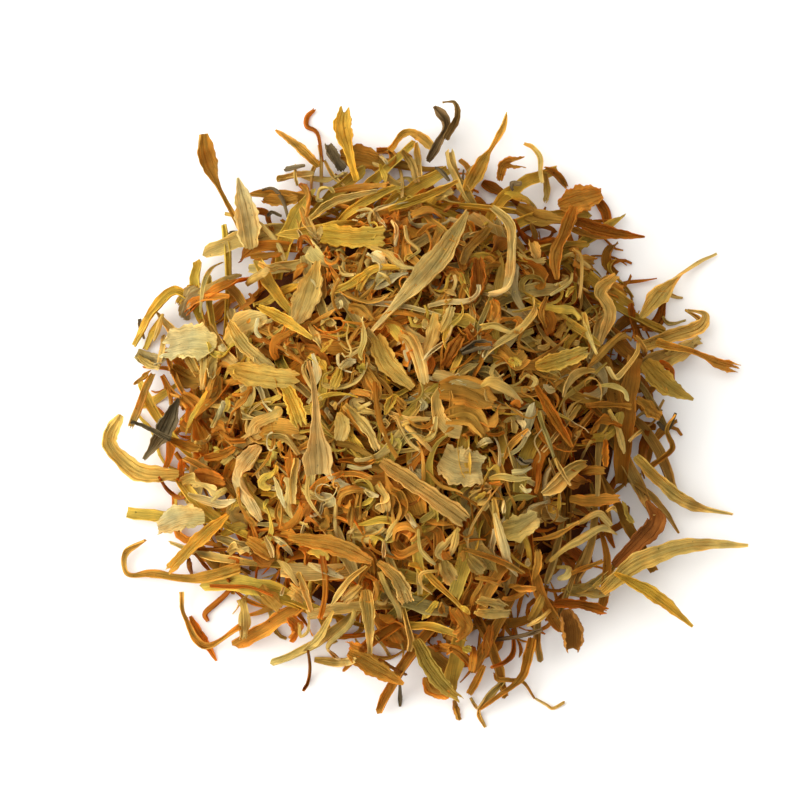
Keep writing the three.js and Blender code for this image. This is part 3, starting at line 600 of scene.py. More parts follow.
    petal("spoon_centre", "straw", (0.0, 0.2), [0.6, 0.7, 0.8, 1.0, 1.2, 1.8, 3.4, 5.3, 4.6],
          [(-16.5, 5.5, 4.5), (-15.5, 1, 5),
           (-15, -5.5, 5.2), (-14.5, -12.5, 4.8)], curl=0.9, colours=((226, 182, 98), (234, 202, 126))),
    petal("twisted_straw_left", "straw", (0.2, 0.3, 0.9, 0.3, -0.4),
          [1.4, 3.2, 3.5, 2.0, 3.2, 3.4, 2.2, 0.7],
          [(-24.5, -7, 4), (-28, -11.5, 4.5), (-24.5, -18.5, 3.5)], curl=0.8, ruffle=0.4,
          colours=((246, 214, 132), (250, 226, 156))),
    petal("orange_lens", "orange", (0.05, 0.35), [0.8, 2.2, 3.0, 3.2, 2.6, 1.0],
          [(-20, -21.5, 4), (-12.5, -23, 4.2), (-6.5, -25.5, 3.8)], curl=0.9,
          colours=((238, 180, 66), (246, 196, 92))),
    petal("fan_below_right", "straw", (0.1, 0.3), [1.0, 1.8, 2.3, 2.6, 2.2],
          [(-5.5, -25.5, 4), (-2.5, -28, 4), (-1, -31.5, 3.4)], curl=0.6),
    petal("tab_centre", "yellow", (0.0, 0.3), [1.8, 3.0, 3.3, 3.1, 2.2, 1.0],
          [(-6, 10, 4), (-4, 5.5, 4.5), (0, 1.5, 4)], curl=0.3, colours=((250, 214, 100), (252, 222, 118))),
    petal("strap_centre", "pale", (0.05, 0.15), [1.5, 2.4, 2.6, 2.5, 2.6, 3.0, 2.6],
          [(-5, -10.5, 4.8), (1, -14.5, 5), (8.5, -19.5, 4.6)], curl=0.35, teeth=0.7,
          colours=((232, 186, 92), (240, 204, 116))),
    petal("crumpled_pale", "pale", (-0.05, 0.25), [4.0, 5.8, 6.3, 5.6, 4.2],
          [(4.5, -9.5, 4.5), (7.5, -11, 5.2), (11, -11, 4.5)], curl=0.5, ruffle=0.9,
          colours=((250, 218, 134), (252, 228, 152))),
    petal("orange_cup", "rust", (0.05, 0.15), [1.6, 3.2, 3.7, 3.2, 1.4],
          [(10.5, 23.5, 4), (10.5, 19, 4.5), (9.5, 15.5, 4.2)], curl=1.7),
    petal("long_straw", "straw", (-0.1, 0.4), [0.7, 1.9, 3.2, 4.2, 4.4, 3.8, 2.6, 1.6, 0.6],
          [(9, 33, 5), (5, 24.5, 5.6), (0, 17.5, 5.8), (-6.5, 10.5, 5)], curl=0.9, ruffle=0.25,
          colours=((238, 206, 116), (246, 218, 140))),
    petal("curved_straw", "straw", (0.0, 0.6), [1.2, 1.8, 2.1, 2.0, 2.1, 1.7, 1.2, 0.7],
          [(13, 33.5, 4), (16, 30, 4.6), (16, 24, 4.8), (15, 18, 4.4), (12, 16.5, 4.2)],
          curl=1.1, ruffle=0.2, colours=((236, 208, 120), (246, 224, 148))),
    petal("yellow_right", "yellow", (0.05, 0.25), [1.4, 2.6, 2.9, 2.7, 2.4, 1.6],
          [(19.5, 5, 4.2), (23.5, 6.5, 4.6), (28.5, 9, 4)],
          curl=0.5, teeth=1.2, colours=((244, 204, 84), (248, 214, 104))),
    petal("narrow_orange_right", "orange", (0.05, 0.35), [0.7, 1.3, 1.7, 1.7, 1.2, 0.5],
          [(19.5, 2, 4.5), (22, -2, 4.8), (25.5, -7, 4.2)], curl=0.8),
    petal("bent_straw_right", "straw", (0.1, 0.5), [1.2, 2.0, 2.4, 2.2, 2.4, 1.8, 0.8],
          [(34, 23.5, 3.5), (31, 20, 4), (32.5, 16.5, 4), (30.5, 10.5, 3.5)], curl=0.8),
    petal("gold_top_right", "amber", (0.1, 0.5), [1.3, 2.2, 2.4, 2.1, 2.4, 1.8, 0.9],
          [(27, 35, 3.5), (25.5, 30.5, 4), (23.5, 25.5, 4), (23.5, 21, 3.6)], curl=0.8),
]
print("petals that can be told apart:", len(LOOSE))

# %% A smooth line through a path's points
def smooth_line(points, stations):
    """A Catmull-Rom curve, evenly stepped in its parameter. Between points b and c with
    neighbours a and d it is the cubic that leaves b along (c - a) / 2 and reaches c
    along (d - b) / 2. Past the ends, the first and last step are repeated."""
    points = np.asarray(points, float)
    points = np.concatenate([[2 * points[0] - points[1]], points, [2 * points[-1] - points[-2]]])
    spot = np.linspace(0, len(points) - 3, stations)
    k = np.minimum(spot.astype(int), len(points) - 4)
    u = (spot - k)[:, None]
    a, b, c, d = (points[k + j] for j in range(4))
    return b + 0.5 * u * (c - a + u * (2 * a - 5 * b + 4 * c - d + u * (3 * (b - c) + d - a)))


def smooth_row(values, stations):
    """Numbers at even steps, such as widths, drawn out to all stations as smoothly."""
    return smooth_line(np.reshape(values, (-1, 1)), stations)[:, 0]


def settled_line(petal, stations):
    """The petal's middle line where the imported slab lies. The line over the dome is
    moved by lift + slope * along, the straight fit, by least squares, to the differences
    between the heights of the slab's points and of the line nearest to them."""
    line = smooth_line(petal.path, stations)
    line[:, 2] += bed(line[:, 0], line[:, 1])
    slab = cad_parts[petal.name].data
    points = np.empty(len(slab.vertices) * 3)
    slab.vertices.foreach_get("co", points)
    points = points.reshape(-1, 3) / MM
    apart = np.hypot(*(points[:, None, :2] - line[None, :, :2]).transpose(2, 0, 1))
    nearest = apart.argmin(axis=1)
    along = np.linspace(0, 1, stations)
    slope, lift = np.polyfit(along[nearest], points[:, 2] - line[nearest, 2], 1)
    line[:, 2] += lift + slope * along
    return line


LOOSE_STATIONS = 41
loose_lines = {petal.name: settled_line(petal, LOOSE_STATIONS) for petal in LOOSE}
print("highest middle line, mm:", round(max(line[:, 2].max() for line in loose_lines.values()), 1))

# %% [markdown]
# ## The rooted petals
#
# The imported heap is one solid: a core with 138 petals rooted in it, laid out by a rule
# with a seeded draw. The same rule and the same draw give the same petals here, but as
# thin curled sheets. Their middles sit on a golden-angle spiral, which spreads them
# evenly, and each turns to the direction where its own layer leaves the most room.

# %% The draw and the rule of the rooted petals
# How many there are, where their middles and roots may lie, and the measures of each
ROOTED = 138
MIDDLE_RADIUS = 42.5
EVENNESS = 0.46
ROOT_RADIUS = 36.5
LAYERS = 3
LAYER_LIFT = 1.45
HEAP_EDGE = 51
THINNING = 13
THINNEST = 0.2
ROOT_SINK = 5.5
ROOT_CURVE = 5
TRIES = 9
TURN = math.pi * (3 - math.sqrt(5))
SLAB = 0.6
ROOTED_STEPS = 4
LENGTHS, WIDTHS, TIP_RISES = (13, 21), (2, 3.8), (-0.5, 2.5)
MOST_BEND, MOST_ROLL, MOST_TWIST = 0.9, 0.35, 0.8
FOOT_ROOM = 0.1
WORD = 0xFFFFFFFF
# The purposes of the draws. Each try for a heading has its own, from HEADING up
LENGTH, BEND, WIDTH, FORM, ROLL, TWIST, TIP, HEADING = 1, 2, 3, 4, 5, 6, 7, 10


def draw(petal, purpose):
    """A number from 0 to 1 for a petal and a purpose: both are multiplied by large odd
    numbers, and the bits are mixed by shifts and products, all in 32 bits."""
    bits = ((petal + 1) * 0x9E3779B1 & WORD) ^ ((purpose + 1) * 0x85EBCA6B & WORD)
    bits = (bits ^ (bits >> 15)) * 0x2C1B3C6D & WORD
    bits = (bits ^ (bits >> 12)) * 0x297A2D39 & WORD
    return (bits ^ (bits >> 15)) / 2 ** 32


def between(low, high, share):
    """The number at this share of the way from low to high."""
    return low + (high - low) * share


def either_way(most, share):
    """The same from minus the most to the most, such as an angle to either side."""
    return between(-most, most, share)


def middle_line(middle, heading, length, bend):
    """Spots along a petal seen from above: equal steps whose direction turns evenly
    through the bend, moved so that the middle spot is in its place."""
    direction = heading + bend * ((np.arange(ROOTED_STEPS) + 0.5) / ROOTED_STEPS - 0.5)
    steps = np.stack([np.cos(direction), np.sin(direction)], axis=-1) * length / ROOTED_STEPS
    spots = np.concatenate([[[0, 0]], np.cumsum(steps, axis=0)])
    return spots + middle - spots[ROOTED_STEPS // 2]


def clearance(spots, layer):
    """The least distance from these spots to those in the layer, or less than nothing
    where the root would miss the core."""
    root = np.hypot(*spots[0])
    if root > ROOT_RADIUS:
        return ROOT_RADIUS - root
    if not layer:
        return math.inf
    taken = np.concatenate(layer)
    return np.hypot(*(spots[:, None] - taken[None]).transpose(2, 0, 1)).min()


def rooted_petals():
    """Middle lines of shape (petals, steps + 1, 3) and a dict of each petal's numbers."""
    layers = [[] for _ in range(LAYERS)]
    lines, rows = [], []
    for index in range(ROOTED):
        azimuth = index * TURN
        radius = MIDDLE_RADIUS * ((index + 0.5) / ROOTED) ** EVENNESS
        middle = radius * np.array([math.cos(azimuth), math.sin(azimuth)])
        length = between(*LENGTHS, draw(index, LENGTH))
        bend = either_way(MOST_BEND, draw(index, BEND))
        layer = layers[index % LAYERS]
        headings = [azimuth + either_way(math.pi / 2, draw(index, HEADING + k)) for k in range(TRIES)]
        ways = [middle_line(middle, heading, length, bend) for heading in headings]
        spots = max(ways, key=lambda way: clearance(way, layer))
        layer.append(spots)
        width = between(*WIDTHS, draw(index, WIDTH))
        roll = either_way(MOST_ROLL, draw(index, ROLL))
        twist = either_way(MOST_TWIST, draw(index, TWIST))
        along = np.linspace(0, 1, ROOTED_STEPS + 1)
        thickness = np.clip((HEAP_EDGE - np.hypot(*spots.T)) / THINNING, THINNEST, 1)
        tip_rise = between(*TIP_RISES, draw(index, TIP) ** 2)
        lift = thickness * (LAYER_LIFT * (index % LAYERS) + tip_rise * along ** 2)
        height = bed(*spots.T) + SLAB / 2 + lift - ROOT_SINK * (1 - along) ** ROOT_CURVE
        lowest = SLAB / 2 + width / 2 * math.sin(abs(roll) + abs(twist) / 2) + FOOT_ROOM
        lines.append(np.column_stack([spots, np.maximum(height, lowest)]))
        forms = [STRAP, LANCE, SPOON]
        form = forms[int(len(forms) * draw(index, FORM))]
        rows.append(dict(width=width, roll=roll, twist=twist, form=form, length=length))
    return np.array(lines), rows


rooted_lines, rooted_rows = rooted_petals()
print("rooted petals:", len(rooted_rows), "highest, mm:", round(rooted_lines[..., 2].max(), 1))

# %% [markdown]
# ## A height map of the pile
#
# To pour more petals on, each new one has to know what already lies where it lands. A
# physics simulation of fifteen hundred curled sheets would take far too long. A height
# map does it in a few seconds: a grid of half-millimetre cells that holds the height of
# the pile. A petal reads the cells under it, rests on them, and writes its own height.

# %% Height map
# The grid's cells and how far it reaches from the middle, and the lump's own measures
CELL = 0.5
REACH = 62
CELLS = int(2 * REACH / CELL)
CORE_DEPTH = 3
CORE_RADIUS = 35
CORE_RIM = 6
LAY_SAMPLES = 33
ACROSS = np.linspace(-1, 1, 7)
# How far over a petal's middle line its top is taken to be, for each kind of petal
ROOTED_TOP, LOOSE_TOP, PICKED_TOP, POURED_TOP = 0.35, 0.1, 0.15, 0.2


def cell_of(x, y):
    """Row and column of the cell at a place."""
    at = lambda value: np.clip(((value + REACH) / CELL).astype(int), 0, CELLS - 1)
    return at(y), at(x)


centres_of_cells = (np.arange(CELLS) + 0.5) * CELL - REACH
cell_x, cell_y = np.meshgrid(centres_of_cells, centres_of_cells)
cell_radius = np.hypot(cell_x, cell_y)


def core_top(x, y):
    """The core's top: the dome less the core's depth, with soft bumps, down to nothing
    past its rim."""
    bumps = 0.8 * np.sin(0.31 * x + 1) * np.cos(0.27 * y) + 0.5 * np.sin(0.5 * (x - y))
    top = bed(x, y) - CORE_DEPTH + bumps
    return np.clip(top, 0, None) * np.clip((CORE_RADIUS - np.hypot(x, y)) / CORE_RIM, 0, 1)


pile = core_top(cell_x, cell_y)


def under(line, half_width):
    """The places under a petal, of shape (samples, across, 2), its sides there and the
    dome's slope to the side."""
    spot = np.linspace(0, len(line) - 1, LAY_SAMPLES)
    k = np.minimum(spot.astype(int), len(line) - 2)
    share = (spot - k)[:, None]
    centre = line[k, :2] * (1 - share) + line[k + 1, :2] * share
    half = half_width[k] * (1 - share[:, 0]) + half_width[k + 1] * share[:, 0]
    ahead = unit(np.gradient(centre, axis=0))
    side = np.stack([ahead[:, 1], -ahead[:, 0]], axis=-1)
    places = centre[:, None] + side[:, None] * (half[:, None] * ACROSS)[..., None]
    slope = np.stack(bed_slope(*centre.T), axis=-1)
    return places, half, (slope * side).sum(-1)


def stamp(line, half_width, top, lean=None):
    """Writes a petal's height into the pile. Lean is how far it rises to its side for
    each millimetre, or that of the dome."""
    places, half, slope = under(line, half_width)
    spot = np.linspace(0, len(line) - 1, LAY_SAMPLES)
    height = np.interp(spot, np.arange(len(line)), line[:, 2])
    lean = slope if lean is None else lean
    heights = height[:, None] + lean[:, None] * half[:, None] * ACROSS + top
    np.maximum.at(pile, cell_of(places[..., 0], places[..., 1]), heights)


# %% The ceiling under the petals that can be told apart
CEILING_GAP = 0.75
INNER_RADIUS = 42
ceiling = np.full((CELLS, CELLS), np.inf)
loose_half_widths = {}
for petal in LOOSE:
    half = smooth_row(petal.widths, LOOSE_STATIONS) / 2
    loose_half_widths[petal.name] = half
    places, _, _ = under(loose_lines[petal.name], half)
    spot = np.linspace(0, LOOSE_STATIONS - 1, LAY_SAMPLES)
    height = np.interp(spot, np.arange(LOOSE_STATIONS), loose_lines[petal.name][:, 2])
    cells = cell_of(places[..., 0], places[..., 1])
    np.minimum.at(ceiling, cells, np.repeat(height[:, None] - CEILING_GAP, len(ACROSS), axis=1))
covered = np.isfinite(ceiling)[cell_radius < INNER_RADIUS].mean()
print("share of the heap under those petals:", round(float(covered), 2))

# %% [markdown]
# ## Kinds of petal
#
# The pile holds a few kinds: flat toothed straps, pointed lances, spoons with a narrow
# neck, strips that have rolled up along their length, slivers, broad ones, crumpled
# ones, curly threads, which are the styles of the flower, and crumbs. Each kind is a row
# of ranges, and each petal takes its numbers from its kind. Ruffle, bend and twist are
# how far a bell curve spreads round none, and the teeth are the usual length.

# %% Kinds
Kind = namedtuple("Kind", "form length width curl ruffle teeth bend twist")
KINDS = {
    "strap": Kind(STRAP, (9, 17), (1.2, 2.3), (0.2, 1.1), 0.2, 0.8, 1.0, 0.8),
    "lance": Kind(LANCE, (8, 17), (1.0, 2.1), (0.3, 1.4), 0.2, 0.0, 1.3, 1.0),
    "spoon": Kind(SPOON, (8, 13), (1.5, 2.7), (0.4, 1.3), 0.25, 0.6, 0.8, 0.8),
    "strip": Kind(STRIP, (7, 16), (0.8, 1.7), (1.3, 2.6), 0.12, 0.3, 1.9, 1.8),
    "sliver": Kind(LANCE, (5, 14), (0.5, 1.0), (0.6, 1.8), 0.1, 0.0, 2.0, 2.0),
    "broad": Kind(SHIELD, (6, 10), (2.6, 4.2), (0.2, 0.7), 0.4, 0.4, 0.4, 0.5),
    "crumple": Kind(SHIELD, (4, 9), (1.8, 3.2), (0.8, 1.8), 0.5, 0.5, 1.2, 1.6),
    "thread": Kind(STRIP, (4, 12), (0.34, 0.56), (2.2, 2.9), 0.0, 0.0, 3.2, 1.0),
    "crumb": Kind(SHIELD, (0.8, 2.4), (0.7, 1.5), (0.4, 1.4), 0.1, 0.1, 0.8, 0.8),
}
FILL_STATIONS = 12
# Shares of the petals that have a kink, stand on edge and lie face down
KINKED, ON_EDGE, FACE_DOWN = 0.4, 0.14, 0.35
# Radians: the turn of one on edge, and how far a bell curve spreads for kink and roll
EDGE_TURN, KINK_SPREAD, ROLL_SPREAD = 1.1, 0.7, 0.4
KINK_STEEPNESS, KINK_PLACE = 9, (-0.3, 0.3)
WAVER_SHARE, BEND_SHARE = 0.3, 1.3
# Radians that the slow waves of curl and width run through in a petal, and their size
CURL_WAVE, CURL_SWING = (2, 7), 0.45
PINCH_WAVE, PINCH = (3, 9), (0, 0.25)
ARCH_SPREAD, CREASE_SPREAD, TEETH_RANGE, RAGGED_RANGE = 0.5, 0.25, (0, 1.3), (0, 0.12)
# Heights of pleats and wrinkles for each millimetre of width, and the widest that counts
PLEAT_RANGE, WRINKLE_RANGE, WIDEST_PLEATED = (0.02, 0.07), (0, 0.05), 3
ANY_PHASE = (0, 6.3)
ANY_START = (0, 6)


def some_petal(kind, rng, stations=FILL_STATIONS):
    """One petal of this kind, lying along +X round the origin: its middle line seen from
    above, half widths, turns, curl and the numbers of its surface. Its heading turns
    evenly, wavers, and in some petals jumps at a kink. Its width pinches in and its curl
    opens and closes in a slow wave. Some petals stand on edge, and some lie face down."""
    pick = lambda limits: rng.uniform(*limits)
    along = np.linspace(0, 1, stations)
    length, width = pick(kind.length), pick(kind.width)
    middle = (along[1:] + along[:-1]) / 2 - 0.5
    waver = rng.normal(0, WAVER_SHARE * kind.bend) * np.cos(2 * np.pi * middle + pick(ANY_START))
    kink = rng.normal(0, KINK_SPREAD) * (rng.uniform() < KINKED)
    kink = kink * np.tanh(KINK_STEEPNESS * (middle - pick(KINK_PLACE)))
    heading = rng.normal(0, kind.bend) * middle * BEND_SHARE + waver + kink
    steps = np.stack([np.cos(heading), np.sin(heading)], axis=-1) * length / (stations - 1)
    line = np.concatenate([[[0, 0]], np.cumsum(steps, axis=0)])
    pinch = 1 + pick(PINCH) * np.sin(pick(PINCH_WAVE) * along + pick(ANY_START))
    on_edge = rng.choice([-EDGE_TURN, EDGE_TURN]) * (rng.uniform() < ON_EDGE)
    face_down = np.pi * (rng.uniform() < FACE_DOWN)
    roll, twist = rng.normal(0, ROLL_SPREAD), rng.normal(0, kind.twist)
    return dict(
        line=line - line.mean(0), length=length,
        half=width / 2 * outline([kind.form], along[None])[0] * pinch,
        turn=roll + twist * (along - 0.5) + on_edge + face_down,
        curl=pick(kind.curl) * (1 + CURL_SWING * np.sin(pick(CURL_WAVE) * along + pick(ANY_START))),
        arch=rng.normal(0, ARCH_SPREAD) * np.sin(rng.choice([np.pi, 2 * np.pi]) * along),
        ruffle=abs(rng.normal(0, kind.ruffle)), teeth=kind.teeth * pick(TEETH_RANGE),
        ragged=pick(RAGGED_RANGE), pleat=pick(PLEAT_RANGE) * min(width, WIDEST_PLEATED),
        crease=rng.normal(0, CREASE_SPREAD), wrinkle=pick(WRINKLE_RANGE) * width,
        phase=pick(ANY_PHASE))


def turned(line, heading, middle):
    """The line turned by the heading and moved to its middle."""
    cos, sin = math.cos(heading), math.sin(heading)
    return line @ np.array([[cos, sin], [-sin, cos]]) + middle


# %% Laying a petal on the pile
SHARES = np.linspace(0, 1, LAY_SAMPLES)
BASIS = np.stack([np.ones(LAY_SAMPLES), SHARES, SHARES ** 2], axis=-1)
FIT = np.linalg.pinv(BASIS)
# Share of the dome's slope that a petal leans by to its side
SINK = 0.75
REST_GAP = 0.12


def laid(petal, line, press):
    """Heights along a petal that comes to rest on the pile: a parabola fitted to the
    heights under it, raised towards its highest overlap. press is how much of that
    raise is given up, as light petals squeeze in between each other. Returns the heights
    at its stations, how far it would poke through the ceiling, and the dome's slope to
    its side at its stations."""
    places, half, slope = under(line, petal["half"])
    cells = cell_of(places[..., 0], places[..., 1])
    lean = SINK * slope[:, None] * half[:, None] * ACROSS
    ground = (pile[cells] - lean).max(axis=1)
    curve = FIT @ ground
    raised = (ground - BASIS @ curve).max() * (1 - press) + REST_GAP
    over = ((BASIS @ curve)[:, None] + raised + lean - ceiling[cells]).max()
    along = np.linspace(0, 1, len(line))
    heights = curve[0] + curve[1] * along + curve[2] * along ** 2 + raised
    sides = np.interp(along, SHARES, slope)
    return heights, over, sides


poured = []
PLACES_TRIED = 8
HEADINGS_TRIED = 4
POURED_PRESS = 0.6
MOST_OVER_CEILING = 0.25
MOST_OVER_LEVEL = 2.5
HIGHEST_POURED = 29.5
LOWEST_POURED = 0.15


def pour(kind, finish, rng, level, lift=(0, 0), grow=1.0):
    """Drops one petal of a kind. Of several random places it takes the one where the
    pile is furthest under its level, then tries a few headings until one stays under the
    ceiling and inside the heap's edge. Its tip may lift off. If nothing fits, the petal
    is left out."""
    x, y = anywhere(rng, PLACES_TRIED)
    cells = cell_of(x, y)
    room = level[cells] - pile[cells]
    best = np.argmax(room)
    if room[best] < 0:
        return
    petal = some_petal(KINDS[kind], rng)
    petal["line"] = petal["line"] * grow
    for _ in range(HEADINGS_TRIED):
        line = turned(petal["line"], rng.uniform(-np.pi, np.pi), np.array([x[best], y[best]]))
        if np.hypot(*line.T).max() > rim_reach(line, rng):
            continue
        heights, over, sides = laid(petal, line, POURED_PRESS)
        under_level = (heights < level[cell_of(*line.T)] + MOST_OVER_LEVEL).all()
        if over < MOST_OVER_CEILING and under_level and heights.max() < HIGHEST_POURED:
            break
    else:
        return
    tip = rng.uniform(*lift)
    along = np.linspace(0, 1, FILL_STATIONS)
    heights = np.maximum(heights + tip * along ** 2 + petal["arch"], LOWEST_POURED)
    settle(petal, finish, line, heights, sides, POURED_TOP, tip * 0.5)
    poured.append(petal)


def settle(petal, finish, line, heights, sides, top, open_under=0.0):
    """Gives a petal its place and finish, leans it to the slope at its side and stamps
    it into the pile, lower by what stays open under its raised tip."""
    petal["middle"] = np.column_stack([line, heights])
    petal["turn"] = petal["turn"] - np.arctan(SINK * sides)
    petal["finish"] = finish
    along = np.linspace(0, 1, len(line))
    lean = SINK * np.interp(SHARES, along, sides)
    stamp(petal["middle"] - [0, 0, open_under], petal["half"], top, lean)


# %% Where petals may fall
EDGE = 45.5
DENTS = [(140, 7.5, 17), (340, 8.0, 11), (60, 3.0, 12), (240, 3.5, 16), (20, 0.5, 10),
         (100, -2.0, 16), (0, 1.0, 8), (200, 2.5, 14), (300, 2.0, 12), (320, 4.5, 9),
         (270, 3.5, 15)]
PAST_EDGE = 0.3
STRAY = 4.5
INSIDE_EDGE = 2


def edge_radius(angle):
    """The heap's edge isn't a circle. Each dent, given by its angle, depth and breadth,
    takes a bell curve off the radius: depth * e to the minus (angle / breadth) squared."""
    radius = np.full(np.shape(angle), EDGE, float)
    for at, depth, breadth in DENTS:
        off = (np.degrees(angle) - at + 180) % 360 - 180
        radius -= depth * np.exp(-((off / breadth) ** 2))
    return radius


def clumps(x, y):
    """Petals don't thin out evenly at the rim: the mean of three slow waves that run
    across each other."""
    waves = [np.sin(0.63 * x + 0.4 * y), np.sin(0.71 * y - 0.33 * x + 2),
             np.sin(0.45 * x - 0.6 * y + 4)]
    return sum(waves) / len(waves)


def rim_reach(line, rng):
    """How far out this petal may reach: a little past the edge, and now and then more."""
    outer = line[np.argmax(np.hypot(*line.T))]
    return edge_radius(math.atan2(outer[1], outer[0])) + PAST_EDGE + STRAY * rng.uniform() ** 3


def anywhere(rng, count):
    """Places spread evenly over the heap's round."""
    angle = rng.uniform(-np.pi, np.pi, count)
    radius = (edge_radius(angle) - INSIDE_EDGE) * np.sqrt(rng.uniform(0, 1, count))
    return radius * np.cos(angle), radius * np.sin(angle)


RIM_START = 4.4
RIM_CLUMPS = 4.0
RIM_RUN = 8


def level_of(top):
    """The height that the pile should reach: the dome and the given depth over it, run
    down to nothing over the last millimetres to a clumpy line inside the edge."""
    inside = edge_radius(np.arctan2(cell_y, cell_x)) - RIM_START - cell_radius
    inside = inside + RIM_CLUMPS * clumps(cell_x, cell_y)
    return (bed(cell_x, cell_y) + top) * np.clip(inside / RIM_RUN, 0, 1)


# %% [markdown]
# ## Petals picked in the photograph
#
# Some 350 more petals, strips and threads can be followed on top of the heap, too small
# or too much covered to be petals of the imported model. Each row below was read off the
# photograph: how wide the petal looks, then the pixels that its middle runs through,
# x and y in turn. They are laid on the pile in this order, the broad ones first and the
# threads after them, so that the fine ones stay in sight, and last a few at the rim.

